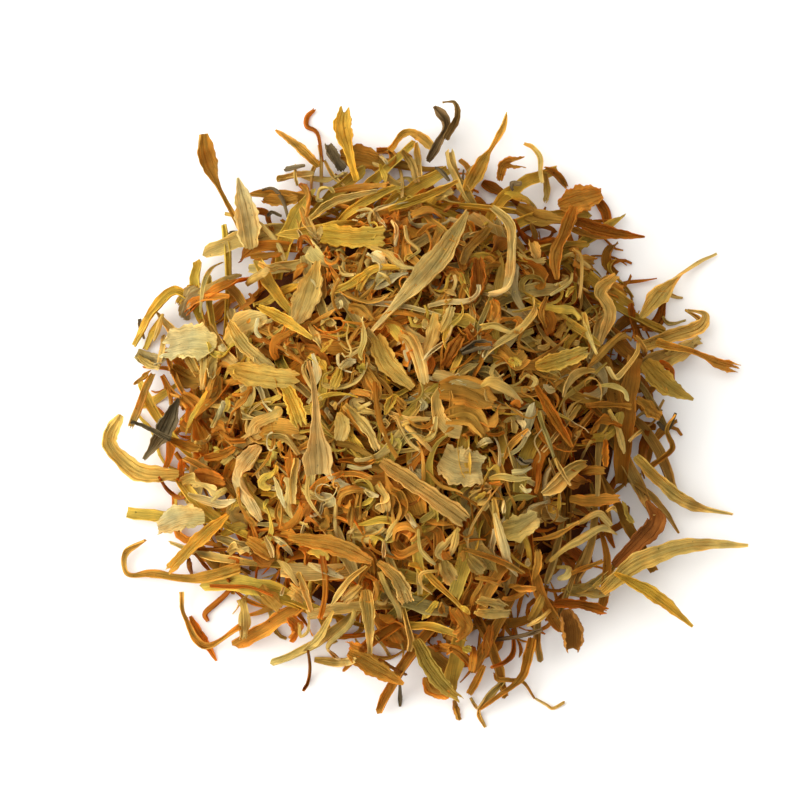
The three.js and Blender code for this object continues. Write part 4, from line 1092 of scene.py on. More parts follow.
# %% The picked petals
PICKED = [
    ("broad", "rust", [
        (24, 252, 335, 268, 345, 280, 355), (18, 195, 475, 212, 478, 226, 482),
        (14, 300, 499, 310, 503, 306, 517), (14, 387, 220, 398, 225, 407, 232),
        (16, 255, 552, 264, 560, 272, 556), (12, 445, 367, 453, 351, 461, 339),
        (20, 466, 330, 480, 345, 492, 340), (16, 560, 470, 575, 480, 590, 478),
        (18, 300, 330, 318, 340, 330, 332)]),
    ("broad", "amber", [
        (26, 340, 155, 361, 155, 382, 158), (24, 375, 616, 392, 625, 405, 640),
        (20, 412, 387, 428, 392, 441, 397), (16, 422, 542, 433, 531, 448, 523, 459, 519),
        (30, 440, 392, 466, 394, 495, 407), (22, 445, 420, 469, 418, 485, 437),
        (18, 182, 398, 195, 408, 190, 425), (18, 517, 208, 537, 217, 562, 224),
        (16, 603, 283, 620, 288, 628, 292), (20, 258, 588, 270, 600, 280, 610),
        (16, 491, 303, 495, 315, 491, 327), (18, 453, 609, 464, 626, 456, 639),
        (16, 532, 392, 553, 380, 579, 361), (16, 637, 400, 649, 410, 660, 419),
        (14, 290, 618, 296, 626, 290, 639), (14, 426, 677, 433, 690, 450, 695),
        (20, 500, 350, 515, 362, 525, 356), (18, 570, 255, 585, 262, 596, 258)]),
    ("broad", "orange", [
        (14, 186, 310, 211, 300, 231, 288, 247, 274),
        (16, 197, 422, 203, 443, 200, 460), (14, 349, 645, 357, 650, 363, 651),
        (12, 239, 255, 252, 248, 272, 245, 300, 244)]),
    ("broad", "straw", [
        (28, 502, 530, 519, 527, 537, 517), (16, 469, 558, 476, 566, 485, 572),
        (14, 460, 186, 470, 174, 478, 160), (16, 662, 361, 682, 351, 702, 336),
        (16, 469, 502, 482, 495, 489, 490), (24, 352, 533, 366, 533, 384, 525),
        (16, 443, 562, 448, 574, 453, 582), (16, 433, 197, 443, 194, 453, 193),
        (14, 295, 206, 303, 221, 311, 236, 319, 248), (18, 290, 588, 299, 594, 306, 601),
        (16, 568, 592, 588, 588, 607, 593), (14, 476, 613, 491, 614, 511, 613),
        (14, 228, 552, 238, 548, 250, 552), (13, 183, 484, 194, 480, 203, 486, 218, 494),
        (16, 340, 415, 343, 428, 340, 444)]),
    ("strap", "amber", [
        (14, 222, 380, 218, 392, 210, 402), (8, 220, 365, 214, 385, 209, 402),
        (11, 411, 220, 428, 214, 443, 218), (10, 389, 215, 407, 211, 417, 212),
        (12, 443, 270, 453, 276, 460, 283), (14, 248, 540, 260, 548, 273, 558),
        (9, 392, 550, 402, 556, 417, 549, 428, 542), (10, 363, 366, 371, 380, 377, 392, 375, 402),
        (9, 582, 470, 593, 471, 603, 474), (12, 570, 498, 588, 501, 605, 500, 620, 500),
        (8, 586, 371, 600, 357, 620, 338, 631, 340), (8, 533, 580, 537, 564, 537, 550),
        (10, 530, 620, 537, 608, 542, 596), (8, 575, 215, 568, 228, 558, 243),
        (7, 560, 247, 558, 260, 555, 273), (9, 572, 230, 593, 235, 620, 235),
        (10, 489, 229, 480, 240, 468, 252, 462, 268), (8, 315, 242, 319, 257, 323, 283, 324, 299),
        (8, 334, 194, 351, 188, 371, 187, 388, 189), (9, 252, 262, 267, 258, 280, 252),
        (8, 484, 666, 476, 682, 469, 694), (7, 454, 700, 457, 710, 460, 720),
        (8, 512, 321, 520, 324, 516, 337), (9, 460, 197, 466, 191, 471, 185),
        (10, 346, 547, 361, 552, 371, 558, 375, 577), (12, 263, 198, 272, 200, 288, 201, 298, 200),
        (8, 645, 365, 655, 378, 664, 396)]),
    ("strap", "orange", [
        (9, 181, 458, 181, 470, 181, 482), (9, 205, 459, 222, 455, 236, 452),
        (10, 173, 443, 191, 448, 203, 453), (9, 433, 645, 441, 647, 450, 651),
        (9, 440, 645, 459, 653, 474, 668), (8, 474, 645, 473, 658, 471, 672),
        (9, 300, 549, 308, 552, 305, 562), (8, 185, 308, 201, 305, 232, 302),
        (12, 382, 334, 393, 324, 408, 317), (8, 298, 177, 305, 186, 309, 201, 308, 219),
        (7, 604, 442, 604, 455, 603, 470), (6, 585, 408, 605, 406, 631, 409)]),
    ("strap", "rust", [
        (9, 514, 228, 531, 234, 554, 244), (10, 593, 189, 606, 206, 611, 230),
        (6, 538, 465, 538, 480, 535, 496), (9, 649, 428, 646, 443, 643, 460),
        (9, 629, 306, 637, 331, 633, 343), (10, 491, 624, 488, 640, 485, 656),
        (12, 665, 300, 660, 318, 641, 326), (8, 657, 365, 667, 371, 672, 387)]),
    ("strap", "straw", [
        (14, 210, 327, 218, 343, 228, 357, 236, 363), (11, 221, 355, 213, 367, 214, 382),
        (10, 200, 315, 203, 331, 205, 371, 205, 394), (14, 435, 317, 433, 330, 428, 346, 420, 363),
        (13, 400, 334, 410, 341, 417, 357, 425, 387), (12, 469, 495, 480, 490, 490, 487),
        (11, 345, 408, 357, 419, 369, 433, 377, 453), (10, 257, 460, 262, 468, 268, 478),
        (9, 319, 225, 320, 232, 319, 238), (9, 302, 209, 310, 228, 318, 240),
        (12, 238, 597, 242, 608, 243, 625, 243, 640), (13, 387, 580, 400, 592, 407, 603),
        (8, 302, 487, 311, 496, 325, 502), (9, 384, 494, 386, 504, 387, 514),
        (12, 361, 587, 351, 596, 343, 603), (9, 477, 603, 491, 603, 505, 607),
        (8, 566, 527, 582, 521, 599, 514, 611, 527), (11, 531, 243, 534, 252, 537, 260),
        (10, 517, 257, 531, 262, 546, 262), (9, 300, 167, 310, 172, 331, 175, 346, 174),
        (7, 545, 175, 548, 186, 546, 198), (9, 189, 302, 213, 289, 238, 270),
        (8, 152, 372, 146, 388, 140, 410, 133, 432), (9, 440, 335, 447, 322, 452, 308),
        (8, 402, 150, 412, 160, 417, 181), (7, 416, 140, 418, 155, 420, 174),
        (9, 313, 658, 336, 661, 356, 662)]),
    ("broad", "pale", [(16, 134, 350, 148, 357, 164, 360), (18, 205, 292, 190, 300, 178, 312)]),
    ("strap", "yellow", [(9, 160, 316, 150, 330, 142, 346), (7, 196, 276, 188, 288, 176, 302),
        (11, 347, 318, 359, 327, 370, 335), (9, 400, 270, 382, 270, 366, 277, 358, 293),
        (8, 366, 277, 351, 287, 333, 295), (14, 300, 287, 282, 292, 267, 302, 258, 308),
        (8, 245, 413, 255, 408, 268, 403, 282, 398), (10, 421, 530, 425, 526, 435, 517, 433, 507),
        (9, 222, 536, 234, 527, 246, 526), (7, 250, 438, 262, 440, 278, 446),
        (6, 488, 269, 499, 269, 508, 268), (10, 508, 363, 515, 365, 517, 371),
        (9, 538, 309, 558, 311, 571, 312, 580, 322), (10, 340, 371, 337, 382, 333, 392)]),
    ("lance", "straw", [
        (13, 283, 411, 273, 418, 257, 426, 246, 440), (8, 277, 560, 287, 570, 299, 587),
        (5, 310, 475, 309, 500, 322, 520), (8, 459, 529, 447, 543, 438, 554, 443, 562),
        (7, 457, 531, 454, 547, 449, 558), (10, 481, 388, 491, 385, 507, 392, 522, 404),
        (15, 587, 462, 570, 471, 552, 489, 541, 496), (7, 562, 590, 582, 588, 603, 575, 617, 561),
        (9, 457, 378, 466, 370, 478, 365), (7, 489, 479, 501, 478, 515, 481, 530, 480),
        (6, 367, 567, 351, 580, 339, 596, 331, 607), (8, 334, 613, 319, 637, 303, 651),
        (7, 619, 456, 631, 473, 645, 497, 655, 515), (12, 605, 300, 602, 320, 595, 343, 590, 360),
        (7, 309, 325, 317, 340, 323, 352),
        (8, 533, 300, 534, 313, 525, 327, 510, 339, 493, 351, 483, 363),
        (9, 550, 562, 564, 550, 582, 540, 602, 529, 617, 534),
        (7, 371, 251, 387, 257, 400, 268, 417, 272),
        (6, 398, 521, 390, 533, 386, 542), (9, 493, 500, 498, 536, 504, 552, 505, 566)]),
    ("lance", "pale", [
        (9, 494, 515, 498, 530, 504, 552, 508, 566, 517, 576),
        (9, 191, 497, 205, 500, 222, 504, 236, 501),
        (8, 309, 565, 325, 572, 344, 579), (8, 273, 538, 283, 544, 292, 554),
        (5, 374, 209, 380, 220, 386, 228), (6, 274, 477, 280, 494, 286, 510),
        (7, 447, 219, 453, 222, 460, 221), (7, 420, 401, 424, 407, 420, 413),
        (6, 477, 447, 485, 444, 492, 443), (10, 396, 343, 404, 341, 407, 357, 409, 371),
        (10, 341, 372, 348, 363, 356, 361), (10, 414, 470, 419, 475, 423, 480)]),
    ("lance", "yellow", [
        (6, 210, 396, 201, 410, 193, 421, 185, 434), (9, 398, 397, 390, 404, 385, 416),
        (7, 438, 601, 430, 610, 422, 620), (7, 322, 354, 328, 348, 333, 342),
        (7, 409, 567, 421, 569, 436, 584, 448, 595, 465, 612), (7, 227, 400, 229, 408, 224, 414),
        (6, 460, 270, 463, 285, 470, 300), (5, 575, 287, 568, 293, 565, 300),
        (8, 462, 650, 467, 650, 471, 651), (7, 504, 195, 521, 197, 538, 200),
        (6, 380, 167, 384, 175, 386, 184), (7, 460, 607, 465, 610, 469, 615)]),
    ("lance", "amber", [
        (9, 443, 217, 441, 228, 437, 240, 422, 272), (7, 293, 277, 300, 273, 308, 268),
        (6, 241, 430, 240, 414, 238, 400), (6, 300, 180, 306, 189, 309, 201, 306, 220),
        (12, 349, 309, 361, 311, 373, 322), (7, 252, 392, 245, 404, 236, 415, 228, 430),
        (6, 351, 393, 361, 394, 371, 398), (8, 397, 400, 402, 406, 406, 410),
        (7, 504, 460, 509, 448, 517, 440, 527, 432), (6, 533, 540, 550, 538, 566, 531, 577, 525),
        (6, 475, 580, 491, 582, 504, 587), (7, 502, 600, 514, 597, 529, 590)]),
    ("strip", "amber", [
        (6, 339, 505, 343, 495, 353, 491, 365, 492), (7, 360, 496, 358, 509, 358, 522),
        (6, 352, 509, 351, 518, 351, 529), (12, 314, 525, 325, 517, 336, 511, 349, 509),
        (8, 315, 529, 331, 525, 338, 519), (7, 392, 491, 400, 496, 403, 509, 398, 521),
        (6, 341, 475, 357, 475, 373, 480), (6, 418, 238, 428, 230, 436, 228),
        (7, 376, 145, 389, 146, 394, 155, 387, 163),
        (8, 395, 542, 398, 531, 408, 529, 416, 535, 410, 544),
        (6, 545, 172, 557, 174, 568, 183), (5, 571, 574, 588, 567, 603, 561),
        (5, 463, 550, 480, 556, 504, 565, 523, 574), (5, 337, 446, 351, 447, 363, 453, 375, 460),
        (6, 344, 262, 352, 258, 360, 248), (6, 509, 586, 521, 588, 535, 590),
        (5, 496, 672, 498, 679, 510, 680, 524, 682, 536, 698), (5, 546, 300, 540, 318, 545, 330)]),
    ("strip", "orange", [
        (5, 375, 384, 376, 400, 379, 420, 385, 438, 397, 460),
        (6, 417, 460, 429, 466, 441, 477, 456, 489),
        (5, 339, 462, 353, 462, 365, 465, 375, 463), (6, 324, 560, 326, 578, 325, 600, 321, 621),
        (5, 464, 268, 470, 262, 477, 261, 485, 268, 486, 280, 480, 295),
        (6, 371, 558, 373, 568, 374, 578),
        (6, 211, 436, 222, 433, 232, 443, 247, 442), (8, 213, 432, 221, 428, 230, 436),
        (5, 560, 420, 566, 432, 570, 445), (6, 468, 310, 462, 300, 464, 286)]),
    ("strip", "straw", [
        (5, 400, 447, 410, 437, 425, 440),
        (4, 388, 424, 392, 418, 397, 420, 401, 430, 410, 445, 420, 453),
        (5, 406, 427, 416, 437, 424, 445, 432, 453), (4, 402, 427, 415, 422, 431, 421),
        (6, 265, 438, 281, 438, 290, 443, 300, 456),
        (4, 334, 197, 329, 190, 320, 191, 318, 201, 323, 204),
        (7, 297, 460, 294, 482, 294, 506), (4, 538, 413, 542, 428, 548, 443, 553, 459),
        (5, 580, 404, 571, 417, 558, 433, 542, 453), (5, 470, 300, 473, 315, 472, 334),
        (5, 491, 300, 485, 315, 479, 331, 479, 357), (6, 481, 332, 493, 331, 509, 335),
        (5, 546, 371, 558, 376, 556, 382, 542, 390),
        (4, 520, 380, 525, 376, 535, 381, 533, 388, 526, 390),
        (6, 300, 575, 306, 591, 313, 613), (6, 380, 572, 388, 591, 398, 608, 401, 621),
        (6, 403, 607, 407, 624, 411, 641, 409, 652),
        (5, 525, 140, 533, 146, 540, 158, 540, 174, 542, 187),
        (5, 637, 345, 635, 357, 623, 373, 613, 382, 605, 370),
        (4, 597, 389, 611, 388, 623, 395, 627, 403),
        (5, 505, 680, 491, 694, 479, 709), (5, 608, 412, 618, 433, 624, 453),
        (4, 582, 315, 586, 331, 595, 357), (5, 635, 338, 641, 346, 646, 354),
        (6, 422, 443, 432, 437, 436, 418), (5, 225, 212, 247, 218, 262, 226, 276, 241, 284, 258),
        (6, 277, 177, 293, 172, 313, 172), (4, 558, 566, 568, 568, 566, 576, 558, 579),
        (5, 594, 587, 611, 571, 618, 560, 633, 562, 641, 565),
        (5, 355, 611, 349, 625, 329, 643, 328, 650), (6, 227, 490, 220, 496, 213, 503),
        (5, 260, 268, 272, 272, 280, 268, 291, 268), (7, 248, 282, 262, 280, 270, 275)]),
    ("thread", "pale", [
        (3, 302, 540, 303, 530, 309, 517, 320, 514, 323, 504), (3, 215, 432, 222, 416, 226, 406),
        (4, 365, 492, 371, 496, 379, 498), (3, 443, 385, 451, 382, 459, 377),
        (3, 440, 392, 454, 384, 466, 387), (3, 452, 329, 446, 342, 432, 353, 422, 363),
        (3, 410, 466, 411, 470, 412, 475), (4, 407, 516, 412, 524, 416, 530),
        (3, 384, 542, 384, 550, 384, 558), (3, 348, 468, 360, 471, 372, 469),
        (3, 371, 230, 380, 230, 386, 230), (3, 392, 225, 397, 234, 395, 249),
        (3, 380, 151, 384, 157, 387, 162), (3, 490, 347, 484, 357, 483, 361),
        (3, 503, 502, 503, 508, 503, 515), (4, 511, 475, 521, 474, 530, 469),
        (4, 520, 488, 525, 493, 530, 492), (3, 328, 650, 334, 655, 339, 659),
        (3, 298, 231, 302, 240, 297, 248), (3, 483, 295, 494, 298, 501, 296),
        (4, 266, 538, 272, 550, 274, 558), (3, 283, 587, 282, 591, 281, 595)]),
    ("thread", "straw", [
        (3, 330, 362, 312, 360, 304, 370, 311, 387, 323, 402), (3, 320, 404, 326, 409, 332, 412),
        (3, 361, 356, 367, 353, 373, 350), (3, 366, 357, 369, 365, 378, 370),
        (3, 340, 345, 349, 352, 361, 349, 350, 359), (3, 358, 411, 364, 408, 371, 405),
        (3, 248, 338, 252, 330, 262, 324, 273, 323), (3, 378, 580, 374, 598, 382, 604, 387, 598),
        (3, 437, 572, 422, 575, 421, 586, 432, 593), (3, 441, 481, 437, 491, 438, 498),
        (3, 418, 533, 420, 550, 427, 560, 435, 566), (3, 319, 159, 312, 170, 310, 183),
        (3, 324, 158, 333, 174, 344, 185), (3, 318, 140, 321, 158, 320, 181),
        (3, 554, 460, 560, 473, 569, 489), (3, 562, 260, 574, 258, 590, 267),
        (3, 572, 254, 580, 260, 581, 283, 579, 299), (3, 620, 275, 607, 276, 598, 285, 601, 297),
        (3, 564, 272, 567, 280, 555, 287), (3, 572, 274, 568, 286, 550, 299),
        (3, 614, 305, 600, 315, 588, 324), (3, 686, 309, 700, 317, 705, 328),
        (3, 641, 431, 634, 437, 628, 443), (3, 606, 512, 612, 509, 617, 511),
        (2, 557, 706, 562, 704, 565, 702, 554, 708, 547, 704, 536, 698),
        (3, 479, 709, 480, 716, 484, 724, 486, 727), (3, 200, 450, 205, 444, 211, 438),
        (3, 295, 160, 295, 175, 297, 183), (3, 340, 269, 345, 277, 355, 279),
        (3, 299, 624, 300, 636, 308, 631, 311, 618), (3, 408, 262, 419, 252, 408, 243, 405, 232),
        (3, 388, 146, 397, 155, 402, 174, 402, 197), (3, 665, 313, 672, 319, 686, 319),
        (3, 376, 637, 384, 646, 390, 655), (3, 471, 697, 474, 703, 477, 708),
        (3, 550, 610, 538, 621, 528, 625), (3, 349, 541, 349, 533, 353, 531)]),
    ("thread", "rust", [
        (4, 269, 535, 283, 538, 300, 541), (4, 195, 549, 211, 549, 228, 548),
        (3, 458, 205, 450, 205, 444, 213), (3, 162, 481, 166, 488, 176, 495, 186, 497),
        (3, 195, 554, 202, 562, 207, 568), (3, 189, 559, 189, 572),
        (6, 246, 217, 255, 210, 266, 210, 268, 217, 272, 229),
        (4, 300, 252, 301, 242, 308, 241, 315, 250),
        (3, 209, 585, 228, 586, 250, 587, 273, 596),
        (4, 227, 578, 229, 585, 215, 600, 203, 612, 206, 620),
        (4, 228, 562, 232, 556, 238, 558, 236, 566),
        (4, 322, 160, 317, 130, 306, 122, 307, 112, 314, 106),
        (3, 250, 296, 254, 303, 240, 313), (3, 379, 660, 392, 668, 406, 674),
        (3, 308, 651, 309, 667, 307, 681, 303, 690), (4, 514, 627, 514, 651, 505, 662, 491, 668)]),
    ("thread", "leaf", [
        (3, 227, 227, 240, 233, 252, 242), (3, 262, 189, 274, 190, 283, 201, 288, 218),
        (3, 268, 216, 272, 212, 281, 216), (3, 284, 164, 288, 167, 305, 166),
        (3, 512, 193, 512, 185, 521, 185), (3, 436, 165, 442, 172, 449, 181),
        (2, 461, 183, 463, 174, 464, 166), (3, 400, 684, 400, 706), (3, 658, 422, 668, 429, 675, 414),
        (4, 496, 638, 517, 636, 532, 633, 542, 630), (8, 461, 355, 477, 349, 491, 350),
        (4, 517, 460, 523, 466, 531, 462)]),
    ("broad", "amber", [(20, 172, 368, 187, 376, 202, 380)]),
    ("strap", "straw", [(8, 136, 352, 148, 362, 160, 368), (8, 160, 330, 163, 345, 158, 364)]),
    ("strap", "olive", [(9, 622, 504, 627, 514, 631, 523)]),
    ("lance", "orange", [(8, 188, 615, 200, 635, 215, 660)]),
    ("lance", "straw", [(6, 163, 314, 158, 326, 152, 338), (5, 221, 258, 212, 272, 206, 292, 203, 318)]),
    ("lance", "amber", [(5, 150, 370, 141, 378, 133, 384)]),
    ("strip", "amber", [(5, 160, 372, 170, 390, 182, 400), (4, 168, 388, 170, 398, 173, 410)]),
    ("thread", "straw", [(3, 658, 291, 671, 292, 685, 294)]),
    ("thread", "leaf", [(3, 137, 315, 139, 325, 142, 335)]),
]
print("picked petals:", sum(len(rows) for _, _, rows in PICKED))

# %% From the photograph to the pile
PICKED_STATIONS = 20
PICKED_RISE = 3
PICKED_PRESS = 0.45
PICKED_TIP = 0.5
PICKED_ARCH = 0.4
PICKED_SWING = 0.2
PICKED_ROLL, PICKED_TWIST, PICKED_FACE_DOWN = 0.22, 0.5, 0.3
PICKED_PLEAT, WIDEST_PICKED = (0.05, 0.13), 4
MOST_LOWERED = 4
HIGHEST_LINE = 30.0
LOWEST_PICKED = 0.2
GUESSES = 8


def from_photo(pixels, rise):
    """The x and y that the camera sees at these pixels on a surface that rises so far
    over the dome. The first guess is that of a flat table, and each further one takes
    in the height and the nearness of the guess before it."""
    right = (pixels[:, 0] - AIM_PIXEL) * PIXEL_SIZE
    up = (AIM_PIXEL - pixels[:, 1]) * PIXEL_SIZE
    sin, cos = math.sin(ELEVATION), math.cos(ELEVATION)
    x, y = right, up
    for _ in range(GUESSES):
        z = bed(x, y) + rise - AIM.z
        near = 1 - (z * sin - y * cos) / DISTANCE
        x, y = right * near, (up * near - z * cos) / sin
    return np.column_stack([x, y])


def picked_petal(kind, row, rng):
    """A petal of this kind on the row's line, flatter than the others and with deeper
    pleats. Its half width is worked back from the width that it shows once it has
    curled, as the widest part of the arc."""
    shape = KINDS[kind]
    petal = some_petal(shape, rng, PICKED_STATIONS)
    along = np.linspace(0, 1, PICKED_STATIONS)
    line = smooth_line(from_photo(np.reshape(row[1:], (-1, 2)), PICKED_RISE), PICKED_STATIONS)
    curl = rng.uniform(*shape.curl)
    half = row[0] * PIXEL_SIZE / 2 * curl / math.sin(min(curl, math.pi / 2))
    petal["line"] = line
    petal["length"] = np.linalg.norm(np.diff(line, axis=0), axis=1).sum()
    petal["half"] = half * outline([shape.form], along[None])[0]
    swing = np.sin(rng.uniform(*CURL_WAVE) * along + rng.uniform(*ANY_START))
    petal["curl"] = curl * (1 + PICKED_SWING * swing)
    roll, twist = rng.normal(0, PICKED_ROLL), rng.normal(0, PICKED_TWIST)
    petal["turn"] = roll + twist * (along - 0.5) + np.pi * (rng.uniform() < PICKED_FACE_DOWN)
    petal["pleat"] = rng.uniform(*PICKED_PLEAT) * min(2 * half, WIDEST_PICKED)
    petal["arch"] = petal["arch"] * PICKED_ARCH
    return petal


def lay_picked(kind, finish, row, rng):
    """Lays one picked petal where the photograph has it, as high as the pile, and lower
    where it would come through a petal that can be told apart or pass the highest one."""
    petal = picked_petal(kind, row, rng)
    heights, over, sides = laid(petal, petal["line"], PICKED_PRESS)
    tip = PICKED_TIP * np.linspace(0, 1, PICKED_STATIONS) ** 2
    heights = heights - np.clip(over, 0, MOST_LOWERED) + petal["arch"] + tip
    heights = np.maximum(heights - max(heights.max() - HIGHEST_LINE, 0), LOWEST_PICKED)
    settle(petal, finish, petal["line"], heights, sides, PICKED_TOP)
    return petal


# %% [markdown]
# ## Pouring the heap
#
# First come petals under the rooted ones, mostly orange and amber, because that is what
# shows in the gaps. Then the rooted petals write their heights, more petals fill up to
# the heap's surface but stay under the 58 that can be told apart, and a last light
# sprinkle goes over everything.

# %% Pour
# The shares of the finishes, of the kinds in the mass and of those strewn over it
DEEP_MIX = ["orange"] * 9 + ["amber"] * 8 + ["rust"] * 4 + ["straw"] * 3 + ["yellow"] * 2
TOP_MIX = (["yellow"] * 9 + ["straw"] * 11 + ["pale"] * 5 + ["orange"] * 11 + ["amber"] * 11
           + ["olive"] * 2 + ["rust"] * 2)
THREAD_MIX = ["pale", "straw", "amber"]
MANY_KINDS = (["strap"] * 4 + ["lance"] * 7 + ["spoon"] * 3 + ["strip"] * 9 + ["sliver"] * 9
              + ["crumple"] * 3 + ["broad"])
STREWN_KINDS = ["strip", "sliver", "lance"]

# How many petals are tried, and how far over the dome they may fill it
UNDER_TRIES, UNDER_RISE = 1300, -0.5
FILL_TRIES, FILL_RISE = 4200, 2.5
STRIP_TRIES, THREAD_TRIES, CRUMB_TRIES, SPRINKLE_RISE = 110, 120, 170, 4.2

rng = np.random.default_rng(7)
level = level_of(UNDER_RISE)
for _ in range(UNDER_TRIES):
    pour(rng.choice(MANY_KINDS), rng.choice(DEEP_MIX), rng, level)
under_count = len(poured)
print("under the rooted petals:", under_count)

for line, row in zip(rooted_lines, rooted_rows):
    fine = smooth_line(line, LOOSE_STATIONS)
    half = row["width"] / 2 * outline([row["form"]], np.linspace(0, 1, LOOSE_STATIONS)[None])[0]
    stamp(fine, half, ROOTED_TOP)

level = level_of(FILL_RISE)
for _ in range(FILL_TRIES):
    pour(rng.choice(MANY_KINDS), rng.choice(TOP_MIX), rng, level, lift=(-0.3, 1.6))
print("up to the surface:", len(poured))

for petal in LOOSE:
    stamp(loose_lines[petal.name], loose_half_widths[petal.name], LOOSE_TOP)
picked = [lay_picked(kind, finish, row, rng) for kind, finish, rows in PICKED for row in rows]
level = level_of(SPRINKLE_RISE)
for _ in range(STRIP_TRIES):
    pour(rng.choice(STREWN_KINDS), rng.choice(TOP_MIX), rng, level, lift=(-0.5, 1.2), grow=0.7)
for _ in range(THREAD_TRIES):
    pour("thread", rng.choice(THREAD_MIX), rng, level, lift=(0, 1.5))
for _ in range(CRUMB_TRIES):
    pour("crumb", rng.choice(TOP_MIX), rng, level)
print("petals poured:", len(poured),
      "highest, mm:", round(max(p["middle"][:, 2].max() for p in poured + picked), 1))

for number, petal in enumerate(poured):
    petal["deep"] = number < under_count

# %% Pieces of the same finish
# Shares of red, green and blue that poured and rooted petals lose at the right edge,
# partly their own browner colour there and partly painted shade on the side away from
# the light. To the left of the middle they gain some, up to 0.4 of these shares, as
# painted light
BROWN_AND_SHADE = np.array([0.27, 0.39, 0.5])
MOST_LEFT = -0.4
# The lowest petals are made brighter and more orange, a painted glow of the light that
# comes through the petals into the gaps. This factor runs out over the last millimetres
# inside the radius
DEEP_PAINTED_GLOW = np.array([1.28, 1.16, 0.84])
DEEP_RADIUS = 38
DEEP_RIM = 8
POURED_COLUMNS, POURED_FOLDS = 5, 1.6
PICKED_COLUMNS, PICKED_FOLDS = 11, 2.3
FLOOR_GAP = 0.03
MOST_LIFT = 1.5
HIGHEST = 31.9
# What some_petal says of a petal's surface, in the words of blades
SURFACE = ("pleat", "crease", "ruffle", "ragged", "teeth", "wrinkle", "phase")


def gathered(petals, name):
    """One value, or one row of values, for each petal, as an array."""
    return np.array([petal[name] for petal in petals])


def above_floor(skins):
    """Lifts each petal until its lowest point clears the floor, by MOST_LIFT at most,
    and holds what is still outside between the floor and the heap's top."""
    skins = np.array(skins)
    lift = np.clip(FLOOR_GAP - skins[..., 2].min(axis=(0, 2, 3)), 0, MOST_LIFT)
    skins[..., 2] = np.clip(skins[..., 2] + lift[None, :, None, None], FLOOR_GAP, HIGHEST)
    return skins


def browned_and_shaded(tints, x):
    """The tints of petals that start at these x, browner and darker towards the right edge,
    partly their own colour and partly painted shade, and lighter to the left as painted light.
    """
    right = np.clip(x / HEAP_SPREAD, MOST_LEFT, 1)[:, None, None]
    return held(tints * (1 - right * BROWN_AND_SHADE))


def poured_tints(tints, petals):
    """The tints browner and darker towards the right, partly painted shade, and brighter
    and more orange for the lowest petals, a painted glow in the gaps.
    """
    middle = gathered(petals, "middle")
    inside = DEEP_RADIUS - np.hypot(*middle[:, FILL_STATIONS // 2, :2].T)
    deep = gathered(petals, "deep") * np.clip(inside / DEEP_RIM, 0, 1)
    return held(browned_and_shaded(tints, middle[:, 0, 0]) * DEEP_PAINTED_GLOW ** deep[:, None, None])


def heaped_piece(name, finish, petals, rng, columns, folds):
    """These petals, all of one finish, as one object."""
    middle, turn, half, curl, length = (
        gathered(petals, key) for key in ("middle", "turn", "half", "curl", "length"))
    surface = {key: gathered(petals, key) for key in SURFACE}
    skins = above_floor(blades(middle, turn, half, curl, folds=folds, columns=columns, **surface))
    tints = petal_tints(SHADES[finish], rng, len(petals))
    if "deep" in petals[0]:
        tints = poured_tints(tints, petals)
    return dressed(petals_piece(name, skins, tints, length, half), finish, "petal_heap")


def dressed(piece, finish, *nodes):
    """Gives a piece its finish, hangs it on the root body, and hides the imported parts
    that it stands for."""
    piece.data.materials.append(FINISHES[finish])
    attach(piece, "root")
    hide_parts(*nodes)
    return piece


rng = np.random.default_rng(11)
for group, petals, columns, folds in (("poured_", poured, POURED_COLUMNS, POURED_FOLDS),
                                      ("picked_", picked, PICKED_COLUMNS, PICKED_FOLDS)):
    for finish in FINISHES:
        same = [petal for petal in petals if petal["finish"] == finish]
        if same:
            piece = heaped_piece(group + finish, finish, same, rng, columns, folds)
            print(piece.name, len(same), "petals,", len(piece.data.polygons) * 2, "triangles")

# %% The rooted petals
ROOTED_STATIONS = 13
# Each finish's share of the rooted petals
ROOTED_MIX = {"orange": 0.05, "amber": 0.29, "yellow": 0.26, "straw": 0.37, "rust": 0.03}
rng = np.random.default_rng(3)
rooted_finish = rng.choice(list(ROOTED_MIX), ROOTED, p=list(ROOTED_MIX.values()))
along = np.linspace(0, 1, ROOTED_STATIONS)
for finish in sorted(set(rooted_finish)):
    chosen = np.flatnonzero(rooted_finish == finish)
    lines = np.array([smooth_line(rooted_lines[k], ROOTED_STATIONS) for k in chosen])
    rows = [rooted_rows[k] for k in chosen]
    widths, rolls, twists = (gathered(rows, key)[:, None] for key in ("width", "roll", "twist"))
    half = widths / 2 * outline([row["form"] for row in rows], along[None])
    count = len(chosen)
    skins = blades(lines, rolls + twists * (along - 0.5), half, rng.uniform(1.0, 2.6, (count, 1)),
                   pleat=rng.uniform(0.05, 0.25, count), folds=1.9,
                   ruffle=rng.uniform(0.1, 0.45, count), ragged=0.12,
                   teeth=rng.uniform(0, 1.4, count), phase=rng.uniform(*ANY_START, count))
    # Browner and darker towards the right: partly the petals' own colour, partly painted shade
    tints = browned_and_shaded(petal_tints(SHADES[finish], rng, count), lines[:, 0, 0])
    piece = petals_piece("rooted_" + finish, above_floor(skins), tints,
                         gathered(rows, "length"), half)
    dressed(piece, finish, "petal_heap")

# %% The core
CORE_RINGS = 40
UNDERSIDE_RINGS = 6
CORE_SIDES = 96
CORE_INSET = 1
CORE_FOOT = 0.05
# The core's dark brown is painted shade: it stands for the shaded depths of the heap, darker than the petals
# there
CORE_SHADE_COLOUR = (120, 62, 16)
# Millimetres of the vein pattern for a radian round the core, and for a millimetre out
CORE_ALONG, CORE_ACROSS = 20, 2


